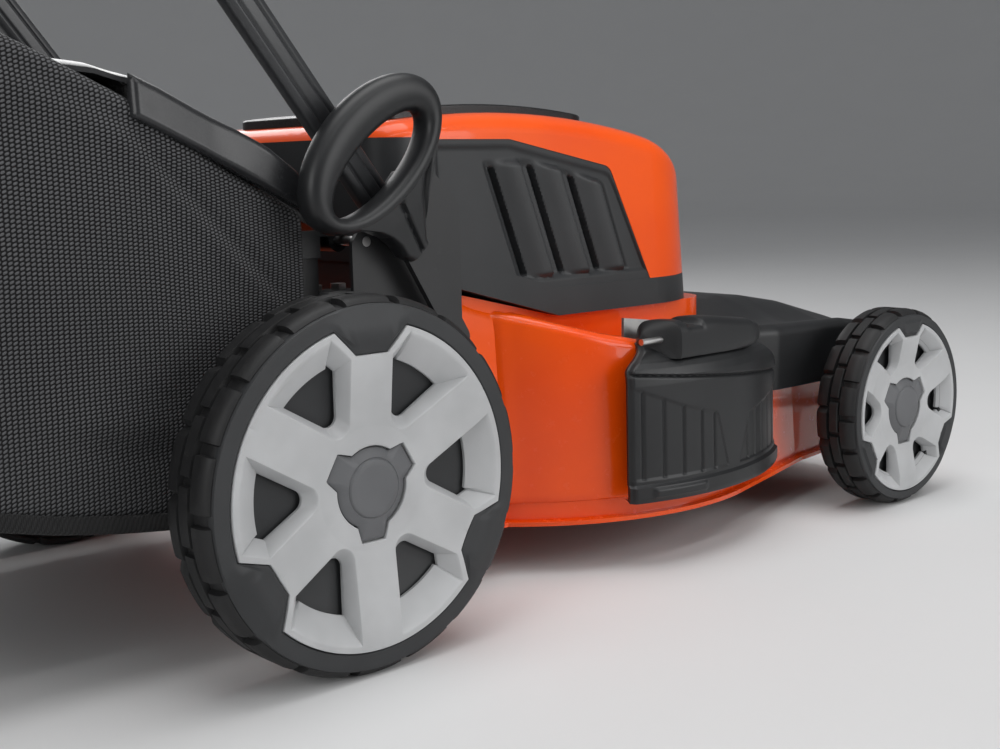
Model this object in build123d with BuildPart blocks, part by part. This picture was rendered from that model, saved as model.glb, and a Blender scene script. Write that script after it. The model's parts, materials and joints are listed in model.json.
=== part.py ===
from build123d import *

import os
from math import atan2, cos, degrees, hypot, radians, sin, sqrt, tan

# Cordless walk-behind lawn mower with a side discharge flap and a rear grass bag.
# Millimetres. +X is forward, +Y is the mower's left, +Z is up.
# The origin lies on the ground under the middle of the mower's length.

os.makedirs("parts", exist_ok=True)

# Overall layout
WHEELBASE = 710.0
TRACK_HALF = 285.0
HANDLE_REACH = 690.0
HANDLE_HEIGHT = 1000.0
REAR_TYRE_R = 140.0
FRONT_TYRE_R = 105.0
REAR_TYRE_W = 56.0
FRONT_TYRE_W = 48.0
REAR_X = (HANDLE_REACH - WHEELBASE - FRONT_TYRE_R) / 2
FRONT_X = REAR_X + WHEELBASE

# General clearances
RUN = 0.06
GAP = 0.4
SEAT = 0.3

# Deck
BLADE_X = REAR_X + 415.0
DECK_R = 240.0
DECK_WALL = 2.0
DECK_DRAFT = 4.0
RIM_Z = 45.0
RIM_T = 4.0
RIM_OUT = 8.0
DECK_REAR_X = REAR_X + 40.0
DECK_FRONT_X = REAR_X + 804.0
REAR_BOX_HALF = 160.0
FRONT_TANGENT_ANGLE = 75.0
FRONT_SHOULDER_HALF = 188.0
FRONT_BOX_HALF = 165.0
TUNNEL_TOP_Z = 265.0
BOWL_TOP_Z = 198.0
NOSE_TOP_Z = 140.0
BOWL_TOP_START_X = REAR_X + 366.0
BOWL_TOP_END_X = REAR_X + 620.0
DECK_SHOULDER_FILLET = 15.0
LONG_EDGE_SHARE = 0.54
CORNER_R = 24.0
REAR_CORNER_R = 28.0
FLOOR_Z = 145.0
FLOOR_T = 2.0
FLOOR_FRONT_X = REAR_X + 186.0
REAR_MOUTH_HALF = 148.0
REAR_MOUTH_TOP_Z = 254.0
SIDE_MOUTH_HALF = 88.0
SIDE_MOUTH_LOW_Z = 72.0
SIDE_MOUTH_TOP_Z = 168.0

# Raised motor platform on the deck
PLATFORM_REAR_X = REAR_X + 168.0
PLATFORM_FRONT_X = REAR_X + 552.0
PLATFORM_HALF = 147.0
PLATFORM_Z = 230.0
PLATFORM_FLAT_X = REAR_X + 312.0
PLATFORM_SLOPE = 0.28
PLATFORM_KNEE_X = PLATFORM_FLAT_X - (TUNNEL_TOP_Z - PLATFORM_Z) / PLATFORM_SLOPE
PLATFORM_CORNER = 46.0

# Hood
HOOD_REAR_X = REAR_X + 108.0
HOOD_FRONT_X = REAR_X + 556.0
HOOD_HALF = 158.0
HOOD_WALL = 3.0
HOOD_DRAFT = 3.5
HOOD_FRONT_CORNER = 105.0
HOOD_REAR_CORNER = 45.0
HOOD_TOP_Z = 416.0
HOOD_CROWN_X = REAR_X + 262.0
HOOD_CROWN_R = 900.0
HOOD_BROW_X = REAR_X + 436.0
HOOD_FACE_Z = 346.0
HOOD_FACE_BACK = 22.0
HOOD_EDGE_FILLET = 20.0
BASE_HEIGHT = 26.0
BASE_WALL = 4.0
BASE_FLOOR = 3.0
PANEL_RECESS = 3.0
PANEL_WALL = 3.0
PANEL_TOP_Z = 392.0
PANEL_REAR_X = REAR_X + 160.0
PANEL_TOP_FRONT_X = REAR_X + 262.0
PANEL_BROW_X = REAR_X + 390.0
PANEL_BROW_Z = 366.0
PANEL_FRONT_X = REAR_X + 452.0
PANEL_CORNER = 14.0
VENT_COUNT = 3
VENT_FIRST_X = REAR_X + 280.0
VENT_PITCH = 48.0
VENT_TOP_Z = 366.0
VENT_LOW_Z = 274.0
VENT_LEAN = 36.0
VENT_WIDTH = 9.0

# Battery lid and batteries
LID_REAR_X = REAR_X + 140.0
LID_FRONT_X = REAR_X + 398.0
LID_HALF = 116.0
LID_THICK = 8.0
LID_CORNER = 24.0
BAY_REAR_X = REAR_X + 150.0
BAY_FRONT_X = REAR_X + 308.0
BAY_HALF = 96.0
LID_PIN_R = 2.5
LID_BARREL_R = 6.0
LID_BARREL_HALF = 50.0
LID_LUG_W = 12.0
PACK_LENGTH = 142.0
PACK_WIDTH = 82.0
PACK_HEIGHT = 104.0
PACK_GAP = 6.0
DOCK_Z = 274.0
DOCK_MARGIN = 5.0

# Motor and blade
MOTOR_R = 82.0
MOTOR_HEIGHT = 84.0
MOTOR_FLANGE_R = 100.0
MOTOR_FLANGE_T = 6.0
MOTOR_BOLT_PCD = 182.0
MOTOR_BOLT_COUNT = 4
MOTOR_BOLT_START = 45.0
SHAFT_R = 8.5
SHAFT_HOLE_R = 30.0
BLADE_R = 226.0
BLADE_W = 52.0
BLADE_T = 4.0
BLADE_Z = 56.0
BLADE_WING = 70.0
BLADE_WING_RISE = 14.0
ADAPTOR_R = 27.0
ADAPTOR_H = 26.0
BLADE_BOLT_R = 5.0
BLADE_BOLT_HEAD_R = 13.0
BLADE_BOLT_HEAD_H = 8.0

# Axle cranks and height lever
CRANK_ARM_X = 74.0
CRANK_ARM_Z = -12.0
PIVOT_SHAFT_R = 8.0
BUSH_R = 11.0
BUSH_FLANGE_R = 16.0
BUSH_LENGTH = 18.0
BUSH_FLANGE_T = 4.0
ARM_T = 6.0
ARM_W = 30.0
ARM_TYRE_CLEAR = 4.0
AXLE_R = 6.0
LINK_PIN_RISE = 30.0
LINK_ROD_R = 4.0
LINK_PIN_R = 4.0
LINK_INSET = 9.0
LINK_DECK_CLEAR = 12.0
LINK_BEND_R = 30.0
LEVER_BAR_T = 6.0
LEVER_BAR_W = 20.0
LEVER_KNEE = (140.0, 231.0)
LEVER_NECK = (96.0, 303.0)
GRIP_CENTRE = (57.0, 383.0)
GRIP_ANGLE = 41.0
GRIP_LONG = 84.0
GRIP_SHORT = 46.0
GRIP_HOLE_LONG = 62.0
GRIP_HOLE_SHORT = 23.0
GRIP_HOLE_SHIFT = 5.0
GRIP_T = 27.0
GRIP_NECK_HALF = 17.0
WEB_TAIL = (-50.0, 32.0)
WEB_REAR = (-25.0, 47.0)
WEB_FRONT = (46.0, 45.0)
WEB_TIP = (67.0, 23.0)

# Wheels
REAR_HUBCAP_R = 120.0
FRONT_HUBCAP_R = 90.0
TYRE_INSET = 2.0
TAB_INSET = 1.0
WINDOW_ROUND = 4.0
TREAD_DEPTH = 13.0
LUG_H = 4.0
LUG_COUNT_REAR = 30
LUG_COUNT_FRONT = 24
LUG_SHARE = 0.62
TYRE_SHOULDER = 6.0
HUB_R = 21.0
BEARING_R = 14.0
BEARING_W = 11.0
DISC_T = 4.0
DISC_BACK = 24.0
CAP_BOSS_R = 21.0
CAP_CORE_R = 30.0
CAP_LOBE_R = 11.0
CAP_LOBE_AT = 30.0
CAP_LOBE_START = 30.0
CAP_T = 4.0
HUBCAP_T = 4.0
HUBCAP_DISH = 6.0
SPOKE_COUNT = 6
SPOKE_W = 34.0
WINDOW_IN_R = 46.0
WINDOW_RIM = 15.0
TAB_COUNT = 3
TAB_W = 34.0
TAB_DEEP = 13.0
BOLT_HEAD_R = 10.0
BOLT_HEAD_T = 6.0

# Front axle cover
COVER_REAR_X = REAR_X + 474.0
COVER_FRONT_X = REAR_X + 811.0
COVER_HALF = 212.0
COVER_TOP_HALF = 150.0
COVER_CREST_X = REAR_X + 600.0
COVER_CREST_Z = 224.0
COVER_REAR_Z = 208.0
COVER_NOSE_Z = 152.0
COVER_SHOULDER_Z = 188.0
COVER_LOW_Z = 132.0
COVER_WALL = 3.0
COVER_FLAP_CLEAR = 12.0

# Side discharge flap
FLAP_WALL = 4.0
FLAP_CLEAR = 12.0
FLAP_HALF_ANGLE = 31.0
FLAP_LOW_Z = 64.0
FLAP_TOP_Z = 186.0
FLAP_PIN_R = 3.0
FLAP_PIN_Z = 209.0
FLAP_PIN_Y = 240.0
FLAP_BARREL_R = 7.5
FLAP_HINGE_HALF = 78.0
FLAP_EAR_AT = 34.0
FLAP_EAR_T = 4.0
FLAP_RIB_COUNT = 9
FLAP_RIB = 2.5
FLAP_RIB_SHARE = 0.75
HINGE_PLATE_T = 3.0
HINGE_PLATE_OUT = 206.0
HINGE_PLATE_IN = 172.0
SPRING_WIRE_R = 1.3
SPRING_COIL_R = FLAP_PIN_R + SPRING_WIRE_R + SEAT
SPRING_TURNS = 8
SPRING_PITCH = 4.4
SPRING_STEPS = 40

# Handle
BRACKET_Y = 194.0
BRACKET_T = 4.0
BRACKET_REAR_X = REAR_X + 50.0
BRACKET_FRONT_X = REAR_X + 160.0
BRACKET_TOP_Z = 366.0
BRACKET_LOW_Z = 190.0
BRACKET_CHAMFER = 28.0
BRACKET_BACK_CUT = 44.0
BRACKET_ROUND = 6.0
FOOT_IN_Y = 108.0
FOOT_T = 4.0
FOOT_BOLT_X = (REAR_X + 66.0, REAR_X + 90.0)
FOOT_BOLT_Y = 119.0
TUBE_BOLT_PITCH = 34.0
TUBE_HEAD = 26.0
TUBE_FOOT_X = REAR_X + 105.0
TUBE_FOOT_Z = 312.0
TUBE_ANGLE = 52.0
TUBE_TAIL = 20.0
TUBE_LENGTH = 480.0
TUBE_W = 24.0
TUBE_D = 18.0
TUBE_WALL = 1.8
UPPER_R = 12.5
UPPER_WALL = 1.6
UPPER_TAIL = 24.0
UPPER_STRAIGHT = 70.0
UPPER_CORNER_R = 70.0
KNOB_SHANK_R = 4.0
KNOB_R = 19.0
KNOB_T = 16.0
KNOB_LOBES = 5
KNOB_HEAD_R = 9.0
KNOB_HEAD_T = 4.0
PANEL_BOX_L = 95.0
PANEL_BOX_W = 120.0
PANEL_BOX_TOP = 28.0
PANEL_BOX_WALL = 3.0
BUTTON_BACK = 55.0
BUTTON_R = 11.0
BUTTON_H = 10.0
BUTTON_TRAVEL = 4.0
BAIL_R = 5.0
BAIL_DROP = 58.0
BAIL_AHEAD = 25.0
BAIL_ARM = 190.0
BAIL_PIN_R = 3.5
BAIL_Y = 140.0
BAIL_BEND_R = 30.0
BAIL_BOSS = 1.5
BOLT_R = 4.0
BOLT_HEAD = 7.0
BOLT_HEAD_H = 5.0

# Rear flap
ROD_X = REAR_X + 64.0
ROD_Z = 312.0
ROD_R = 4.0
REAR_FLAP_T = 5.0
REAR_FLAP_LENGTH = 128.0
REAR_FLAP_HALF = 158.0
REAR_FLAP_BARREL_R = 9.0

# Grass bag
BAG_HALF = 186.0
BAG_WALL = 5.0
BAG_MOUTH_X = REAR_X + 10.0
BAG_FRONT_LOW_Z = 80.0
BAG_FRONT_TOP_Z = 330.0
BAG_SLOPE = 0.556
BAG_LENGTH = 470.0
BAG_CREST_BACK = 345.0
BAG_REAR_TOP_Z = 470.0
BAG_REAR_LOW_Z = 198.0
BAG_REAR_LEAN = 10.0
BAG_ROUND = 36.0
BAG_EDGE = 14.0
BAG_TOP_T = 8.0
BAG_TOP_HALF = 150.0
BAG_TOP_LENGTH = 330.0
BAG_SKIRT_LENGTH = 135.0
BAG_SKIRT_DROP = 14.0
BAG_SKIRT_T = 3.0
BAG_MOUTH_HALF = 150.0
BAG_MOUTH_LOW_Z = 150.0
BAG_MOUTH_TOP_Z = 300.0
BAG_TONGUE_Y = 165.0
BAG_TONGUE_W = 6.0
BAG_TONGUE_T = 5.0
BAG_FRAME_W = 14.0
BAG_GRIP_R = 8.0
BAG_GRIP_HALF = 70.0
BAG_GRIP_RISE = 40.0
BAG_GRIP_BACK = 210.0


def save(shape, node):
    """Label a finished piece and write it as one file."""
    shape.label = node
    export_step(shape, "parts/" + node + ".step")


def side_prism(points, half):
    """Solid between -half and +half across Y whose side view is the polygon of (x, z) points."""
    with BuildPart() as prism:
        with BuildSketch(Plane.XZ):
            Polygon(*points, align=None)
        extrude(amount=half, both=True)
    return prism.part


def cross_rod(x, z, radius, y0, y1):
    """Round bar along Y from y0 to y1."""
    with BuildPart() as rod:
        with BuildSketch(Plane((x, y0, z), x_dir=(1, 0, 0), z_dir=(0, 1, 0))):
            Circle(radius)
        extrude(amount=y1 - y0)
    return rod.part


# Deck
def deck_half_width(inset):
    """Corner points of the deck's plan outline, drawn in by inset, on the left half."""
    r = DECK_R - inset
    box = REAR_BOX_HALF - inset
    turn = radians(FRONT_TANGENT_ANGLE)
    leave = (BLADE_X + r * cos(turn), r * sin(turn))
    shoulder = FRONT_SHOULDER_HALF - inset
    shoulder_x = leave[0] + (leave[1] - shoulder) * tan(turn)
    return {
        "rear": (DECK_REAR_X + inset, box),
        "join": (BLADE_X - sqrt(r * r - box * box), box),
        "side": (BLADE_X, r),
        "leave": leave,
        "shoulder": (shoulder_x, shoulder),
        "front": (DECK_FRONT_X - inset, FRONT_BOX_HALF - inset),
    }


def deck_outline(z, inset):
    """Plan outline of the deck wall at height z, drawn in by inset."""
    p = deck_half_width(inset)
    with BuildSketch(Plane.XY.offset(z)) as outline:
        with BuildLine():
            for s in (1, -1):
                q = {name: (x, s * y) for name, (x, y) in p.items()}
                Line(q["rear"], q["join"])
                ThreePointArc(q["join"], q["side"], q["leave"])
                Line(q["leave"], q["shoulder"])
                Line(q["shoulder"], q["front"])
            Line((p["rear"][0], p["rear"][1]), (p["rear"][0], -p["rear"][1]))
            Line((p["front"][0], p["front"][1]), (p["front"][0], -p["front"][1]))
        make_face()
        fillet(outline.vertices().group_by(Axis.X)[0], radius=REAR_CORNER_R - inset)
        fillet(outline.vertices().group_by(Axis.X)[-1], radius=CORNER_R - inset)
    return outline.sketch


def platform_z(x):
    """Height of the platform's top, which climbs towards the rear until it meets the deck's top."""
    return min(TUNNEL_TOP_Z, PLATFORM_Z + max(0.0, PLATFORM_FLAT_X - x) * PLATFORM_SLOPE)


def deck_form(inset):
    """Solid bounded by the deck's outer skin, drawn in by inset on every side."""
    draft_in = (TUNNEL_TOP_Z - RIM_Z) * tan(radians(DECK_DRAFT))
    low = RIM_Z - inset
    profile = (
        (DECK_REAR_X - 1, low),
        (DECK_REAR_X - 1, TUNNEL_TOP_Z - inset),
        (PLATFORM_KNEE_X, TUNNEL_TOP_Z - inset),
        (BOWL_TOP_START_X, BOWL_TOP_Z - inset),
        (BOWL_TOP_END_X, BOWL_TOP_Z - inset),
        (DECK_FRONT_X + 1, NOSE_TOP_Z - inset),
        (DECK_FRONT_X + 1, low),
    )
    with BuildPart() as bowl:
        add(deck_outline(low, inset))
        add(deck_outline(TUNNEL_TOP_Z + 1, inset + draft_in))
        loft(ruled=True)
        add(side_prism(profile, DECK_R + RIM_OUT), mode=Mode.INTERSECT)
        walls = bowl.edges().filter_by(lambda e: e.center().Z > NOSE_TOP_Z - 2 * DECK_WALL)
        top = walls.filter_by(lambda e: abs(e.center().Y) > FRONT_BOX_HALF / 2)
        fillet(top.filter_by(lambda e: abs((e @ 1 - e @ 0).X) > LONG_EDGE_SHARE * CORNER_R), DECK_SHOULDER_FILLET - inset)
    rear = PLATFORM_REAR_X + inset
    front = PLATFORM_FRONT_X - inset
    platform_profile = (
        (rear - 1, NOSE_TOP_Z),
        (rear - 1, platform_z(rear) - inset),
        (PLATFORM_FLAT_X, PLATFORM_Z - inset),
        (front + 1, PLATFORM_Z - inset),
        (front + 1, NOSE_TOP_Z),
    )
    with BuildPart() as form:
        with BuildSketch(Plane.XY.offset(NOSE_TOP_Z)):
            with Locations(((rear + front) / 2, 0)):
                RectangleRounded(front - rear, 2 * (PLATFORM_HALF - inset), PLATFORM_CORNER - inset)
        extrude(amount=TUNNEL_TOP_Z + PLATFORM_Z)
        add(side_prism(platform_profile, PLATFORM_HALF), mode=Mode.INTERSECT)
        add(bowl.part)
    return form.part


REAR_PIVOT = (REAR_X + CRANK_ARM_X, REAR_TYRE_R + CRANK_ARM_Z)
FRONT_PIVOT = (FRONT_X + CRANK_ARM_X, FRONT_TYRE_R + CRANK_ARM_Z)
hinge_bolt_y = -(HINGE_PLATE_OUT + HINGE_PLATE_IN) / 2
HINGE_BOLTS = tuple((BLADE_X + side * FLAP_EAR_AT / 2, hinge_bolt_y) for side in (1, -1))
FOOT_BOLTS = tuple((x, side * FOOT_BOLT_Y) for x in FOOT_BOLT_X for side in (1, -1))

with BuildPart() as deck_shell:
    add(deck_form(0.0))
    with BuildSketch(Plane.XY.offset(RIM_Z)):
        add(deck_outline(RIM_Z, -RIM_OUT).moved(Location((0, 0, -RIM_Z))))
    extrude(amount=RIM_T)
    add(deck_form(DECK_WALL), mode=Mode.SUBTRACT)
    with BuildSketch(Plane.XY.offset(FLOOR_Z)):
        with Locations(((DECK_REAR_X + FLOOR_FRONT_X) / 2, 0)):
            Rectangle(FLOOR_FRONT_X - DECK_REAR_X, 2 * (REAR_BOX_HALF - CORNER_R / 2))
    extrude(amount=FLOOR_T)
    with BuildSketch(Plane.YZ.offset(DECK_REAR_X - 1)):
        with Locations((0, (FLOOR_Z + FLOOR_T + REAR_MOUTH_TOP_Z) / 2)):
            Rectangle(2 * REAR_MOUTH_HALF, REAR_MOUTH_TOP_Z - FLOOR_Z - FLOOR_T)
    extrude(amount=CORNER_R, mode=Mode.SUBTRACT)
    with BuildSketch(Plane.XZ.offset(DECK_R / 2)):
        with Locations((BLADE_X, (SIDE_MOUTH_LOW_Z + SIDE_MOUTH_TOP_Z) / 2)):
            Rectangle(2 * SIDE_MOUTH_HALF, SIDE_MOUTH_TOP_Z - SIDE_MOUTH_LOW_Z)
    extrude(amount=DECK_R, mode=Mode.SUBTRACT)
    with BuildSketch(Plane.XY.offset(NOSE_TOP_Z)):
        with Locations((BLADE_X, 0)):
            Circle(SHAFT_HOLE_R)
            with PolarLocations(MOTOR_BOLT_PCD / 2, MOTOR_BOLT_COUNT, start_angle=MOTOR_BOLT_START):
                Circle(BOLT_R)
        with Locations(*HINGE_BOLTS, *FOOT_BOLTS):
            Circle(BOLT_R)
    extrude(amount=PLATFORM_Z, mode=Mode.SUBTRACT)
    for pivot in (REAR_PIVOT, FRONT_PIVOT):
        add(cross_rod(*pivot, BUSH_R, -DECK_R, DECK_R), mode=Mode.SUBTRACT)
save(deck_shell.part, "deck_shell")


# Hood
def hood_top_z(x):
    """Height of the hood's crowned top."""
    return HOOD_TOP_Z - HOOD_CROWN_R + sqrt(HOOD_CROWN_R**2 - (x - HOOD_CROWN_X) ** 2)


def hood_outline(z, inset):
    """Plan outline of the hood wall at height z, drawn in by inset."""
    rear = HOOD_REAR_X + inset
    front = HOOD_FRONT_X - inset
    with BuildSketch(Plane.XY.offset(z)) as outline:
        with Locations(((rear + front) / 2, 0)):
            Rectangle(front - rear, 2 * (HOOD_HALF - inset))
        ends = outline.vertices().group_by(Axis.X)
        fillet(ends[0], radius=HOOD_REAR_CORNER - inset)
        ends = outline.vertices().group_by(Axis.X)
        fillet(ends[-1], radius=HOOD_FRONT_CORNER - inset)
    return outline.sketch


def hood_form(inset):
    """Solid bounded by the hood's outer skin, drawn in by inset."""
    draft_in = (HOOD_TOP_Z - PLATFORM_Z) * tan(radians(HOOD_DRAFT))
    low = PLATFORM_Z - 1
    rear = HOOD_REAR_X - 1
    front = HOOD_FRONT_X - inset
    mid = (rear + HOOD_BROW_X) / 2
    brow = (HOOD_BROW_X, hood_top_z(HOOD_BROW_X) - inset)
    tilt = atan2(HOOD_CROWN_X - HOOD_BROW_X, HOOD_CROWN_R)
    with BuildPart() as profile:
        with BuildSketch(Plane.XZ):
            with BuildLine():
                Line((rear, low), (rear, hood_top_z(rear) - inset))
                ThreePointArc((rear, hood_top_z(rear) - inset), (mid, hood_top_z(mid) - inset), brow)
                face = (front - HOOD_FACE_BACK, HOOD_FACE_Z - inset)
                Spline(brow, face, (front, low), tangents=((cos(tilt), sin(tilt)), (0, -1)))
                Line((front, low), (rear, low))
            make_face()
        extrude(amount=HOOD_HALF, both=True)
    with BuildPart() as form:
        add(hood_outline(low, inset))
        add(hood_outline(HOOD_TOP_Z + 1, inset + draft_in))
        loft(ruled=True)
        add(profile.part, mode=Mode.INTERSECT)
        top = form.edges().filter_by(lambda e: e.center().Z > HOOD_FACE_Z)
        sides = top.filter_by(lambda e: abs(e.center().Y) > HOOD_HALF / 2)
        fillet(sides.filter_by(lambda e: abs((e @ 1 - e @ 0).X) > HOOD_REAR_CORNER), HOOD_EDGE_FILLET - inset)
    return form.part


def above_platform(rise, top):
    """Solid as wide as the hood between the platform's line raised by rise and the height top."""
    rear = HOOD_REAR_X - 1
    front = HOOD_FRONT_X + 1
    low = (
        (rear, TUNNEL_TOP_Z),
        (PLATFORM_KNEE_X, TUNNEL_TOP_Z),
        (PLATFORM_FLAT_X, PLATFORM_Z),
        (front, PLATFORM_Z),
    )
    if top is None:
        high = tuple((x, z + BASE_HEIGHT) for x, z in reversed(low))
    else:
        high = ((front, top), (rear, top))
    return side_prism(tuple((x, z + rise) for x, z in low) + high, HOOD_HALF + 1)


def panel_prism(inset):
    """Solid across the hood whose side view is the louvred panel's outline, drawn in by inset."""
    with BuildPart() as prism:
        with BuildSketch(Plane.XZ) as outline:
            Polygon(
                (PANEL_REAR_X + inset, PLATFORM_Z),
                (PANEL_REAR_X + inset, PANEL_TOP_Z - inset),
                (PANEL_TOP_FRONT_X, PANEL_TOP_Z - inset),
                (PANEL_BROW_X - inset, PANEL_BROW_Z - inset),
                (PANEL_FRONT_X - inset, PLATFORM_Z),
                align=None,
            )
            upper = outline.vertices().filter_by(lambda v: v.Y > PLATFORM_Z + BASE_HEIGHT)
            fillet(upper, radius=PANEL_CORNER - inset)
        extrude(amount=HOOD_HALF + 1, both=True)
    return prism.part


hood_skin = hood_form(0.0)
hood_lining = hood_form(HOOD_WALL)
panel_skin = hood_form(PANEL_RECESS)
panel_lining = hood_form(PANEL_RECESS + PANEL_WALL)
pack_x = (BAY_REAR_X + BAY_FRONT_X) / 2
pack_y = (PACK_WIDTH + PACK_GAP) / 2

with BuildPart() as base_tub:
    add(hood_form(BASE_WALL))
    add(above_platform(BASE_FLOOR, HOOD_TOP_Z), mode=Mode.INTERSECT)

with BuildPart() as under_base:
    add(above_platform(PLATFORM_Z - HOOD_TOP_Z, TUNNEL_TOP_Z + 1))
    add(above_platform(0.0, TUNNEL_TOP_Z + 2), mode=Mode.SUBTRACT)

with BuildPart() as hood_base:
    add(hood_skin)
    add(above_platform(0.0, None), mode=Mode.INTERSECT)
    add(base_tub.part, mode=Mode.SUBTRACT)
    with BuildSketch(Plane.XY.offset(DOCK_Z)):
        with Locations((pack_x, 0)):
            Rectangle(PACK_LENGTH + 2 * DOCK_MARGIN, 2 * (PACK_WIDTH + PACK_GAP))
    extrude(amount=PLATFORM_Z - DOCK_Z)
    add(under_base.part, mode=Mode.SUBTRACT)
    with BuildSketch(Plane.XY.offset(PLATFORM_Z - 1)):
        with Locations((BLADE_X, 0)):
            Circle(MOTOR_FLANGE_R + GAP)
    extrude(amount=BASE_HEIGHT, mode=Mode.SUBTRACT)
save(hood_base.part, "hood_base")

lid_axis_x = LID_FRONT_X
lid_axis_z = hood_top_z(LID_FRONT_X) + SEAT + LID_BARREL_R

with BuildPart() as hood_cover:
    add(hood_skin)
    add(hood_lining, mode=Mode.SUBTRACT)
    add(above_platform(BASE_HEIGHT, HOOD_TOP_Z + 1), mode=Mode.INTERSECT)
    add(panel_prism(0.0), mode=Mode.SUBTRACT)
    with BuildSketch(Plane.XY.offset(HOOD_FACE_Z)):
        with Locations((pack_x, 0)):
            RectangleRounded(BAY_FRONT_X - BAY_REAR_X, 2 * BAY_HALF, PANEL_CORNER)
    extrude(amount=HOOD_TOP_Z, mode=Mode.SUBTRACT)
    for side in (1, -1):
        lug_y = side * (LID_BARREL_HALF + GAP + LID_LUG_W / 2)
        with BuildSketch(Plane((0, lug_y, 0), x_dir=(1, 0, 0), z_dir=(0, -1, 0))):
            with Locations((lid_axis_x, lid_axis_z)):
                Circle(LID_BARREL_R)
            drop = LID_BARREL_R + SEAT + HOOD_WALL / 2
            with Locations((lid_axis_x, lid_axis_z - drop / 2)):
                Rectangle(2 * LID_BARREL_R, drop)
            with Locations((lid_axis_x, lid_axis_z)):
                Circle(LID_PIN_R + RUN, mode=Mode.SUBTRACT)
        extrude(amount=LID_LUG_W / 2, both=True)
save(hood_cover.part, "hood_cover")

with BuildPart() as hood_vents:
    add(panel_skin)
    add(panel_lining, mode=Mode.SUBTRACT)
    add(panel_prism(GAP), mode=Mode.INTERSECT)
    add(above_platform(BASE_HEIGHT, HOOD_TOP_Z), mode=Mode.INTERSECT)
    for i in range(VENT_COUNT):
        x = VENT_FIRST_X + i * VENT_PITCH
        top = VENT_TOP_Z - (PANEL_TOP_Z - PANEL_BROW_Z) * i / VENT_COUNT
        slot = (
            (x, VENT_LOW_Z),
            (x - VENT_WIDTH, VENT_LOW_Z),
            (x - VENT_WIDTH - VENT_LEAN, top),
            (x - VENT_LEAN, top),
        )
        add(side_prism(slot, HOOD_HALF), mode=Mode.SUBTRACT)
save(hood_vents.part, "hood_vents")

with BuildPart() as battery_lid:
    mid = (LID_REAR_X + LID_FRONT_X) / 2
    low = [(x, hood_top_z(x) + SEAT) for x in (LID_REAR_X, mid, LID_FRONT_X)]
    high = [(x, z + LID_THICK) for x, z in low]
    with BuildSketch(Plane.XZ):
        with BuildLine():
            ThreePointArc(*low)
            Line(low[2], high[2])
            ThreePointArc(*high)
            Line(high[0], low[0])
        make_face()
    extrude(amount=LID_HALF, both=True)
    fillet(battery_lid.edges().filter_by(Axis.Z), radius=LID_CORNER)
    fillet(battery_lid.faces().sort_by(Axis.Z)[-1].edges(), radius=LID_THICK / 4)
    add(cross_rod(lid_axis_x, lid_axis_z, LID_BARREL_R, -LID_BARREL_HALF, LID_BARREL_HALF))
    for side in (1, -1):
        lug_y = side * (LID_BARREL_HALF + GAP + LID_LUG_W / 2)
        with Locations((lid_axis_x, lug_y, lid_axis_z)):
            Box(3 * LID_BARREL_R, LID_LUG_W + 2 * GAP, 4 * LID_BARREL_R, mode=Mode.SUBTRACT)
    trunnion = LID_BARREL_HALF + LID_LUG_W
    add(cross_rod(lid_axis_x, lid_axis_z, LID_PIN_R, -trunnion, trunnion))
save(battery_lid.part, "battery_lid")

with BuildPart() as battery_packs:
    with BuildSketch(Plane.XY.offset(DOCK_Z)):
        with Locations((pack_x, pack_y), (pack_x, -pack_y)):
            RectangleRounded(PACK_LENGTH, PACK_WIDTH, PANEL_CORNER / 2)
    extrude(amount=PACK_HEIGHT)
save(battery_packs.part, "battery_packs")

# Motor and blade
blade_top = BLADE_Z + BLADE_T
motor_top = PLATFORM_Z + MOTOR_HEIGHT

with BuildPart() as motor_housing:
    with BuildSketch(Plane.XY.offset(PLATFORM_Z)):
        with Locations((BLADE_X, 0)):
            Circle(MOTOR_FLANGE_R)
            with PolarLocations(MOTOR_BOLT_PCD / 2, MOTOR_BOLT_COUNT, start_angle=MOTOR_BOLT_START):
                Circle(BOLT_R, mode=Mode.SUBTRACT)
    extrude(amount=MOTOR_FLANGE_T)
    with BuildSketch(Plane.XY.offset(PLATFORM_Z)):
        with Locations((BLADE_X, 0)):
            Circle(MOTOR_R)
    extrude(amount=MOTOR_HEIGHT)
    fillet(motor_housing.edges().group_by(Axis.Z)[-1], radius=MOTOR_FLANGE_T)
    with Locations((BLADE_X, 0, PLATFORM_Z)):
        Cylinder(SHAFT_R + RUN, 3 * MOTOR_HEIGHT, mode=Mode.SUBTRACT)
save(motor_housing.part, "motor_housing")

with BuildPart() as motor_shaft:
    with BuildSketch(Plane.XY.offset(blade_top)):
        with Locations((BLADE_X, 0)):
            Circle(SHAFT_R)
    extrude(amount=motor_top - blade_top)
    with BuildSketch(Plane.XY.offset(blade_top)):
        with Locations((BLADE_X, 0)):
            Circle(BLADE_BOLT_R)
    extrude(amount=ADAPTOR_H, mode=Mode.SUBTRACT)
save(motor_shaft.part, "motor_shaft")

with BuildPart() as blade_adaptor:
    with BuildSketch(Plane.XY.offset(blade_top)):
        with Locations((BLADE_X, 0)):
            Circle(ADAPTOR_R)
            Circle(SHAFT_R, mode=Mode.SUBTRACT)
    extrude(amount=ADAPTOR_H)
    chamfer(blade_adaptor.edges().group_by(Axis.Z)[-1].sort_by(SortBy.LENGTH)[-1], length=ADAPTOR_R / 5)
save(blade_adaptor.part, "blade_adaptor")

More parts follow.
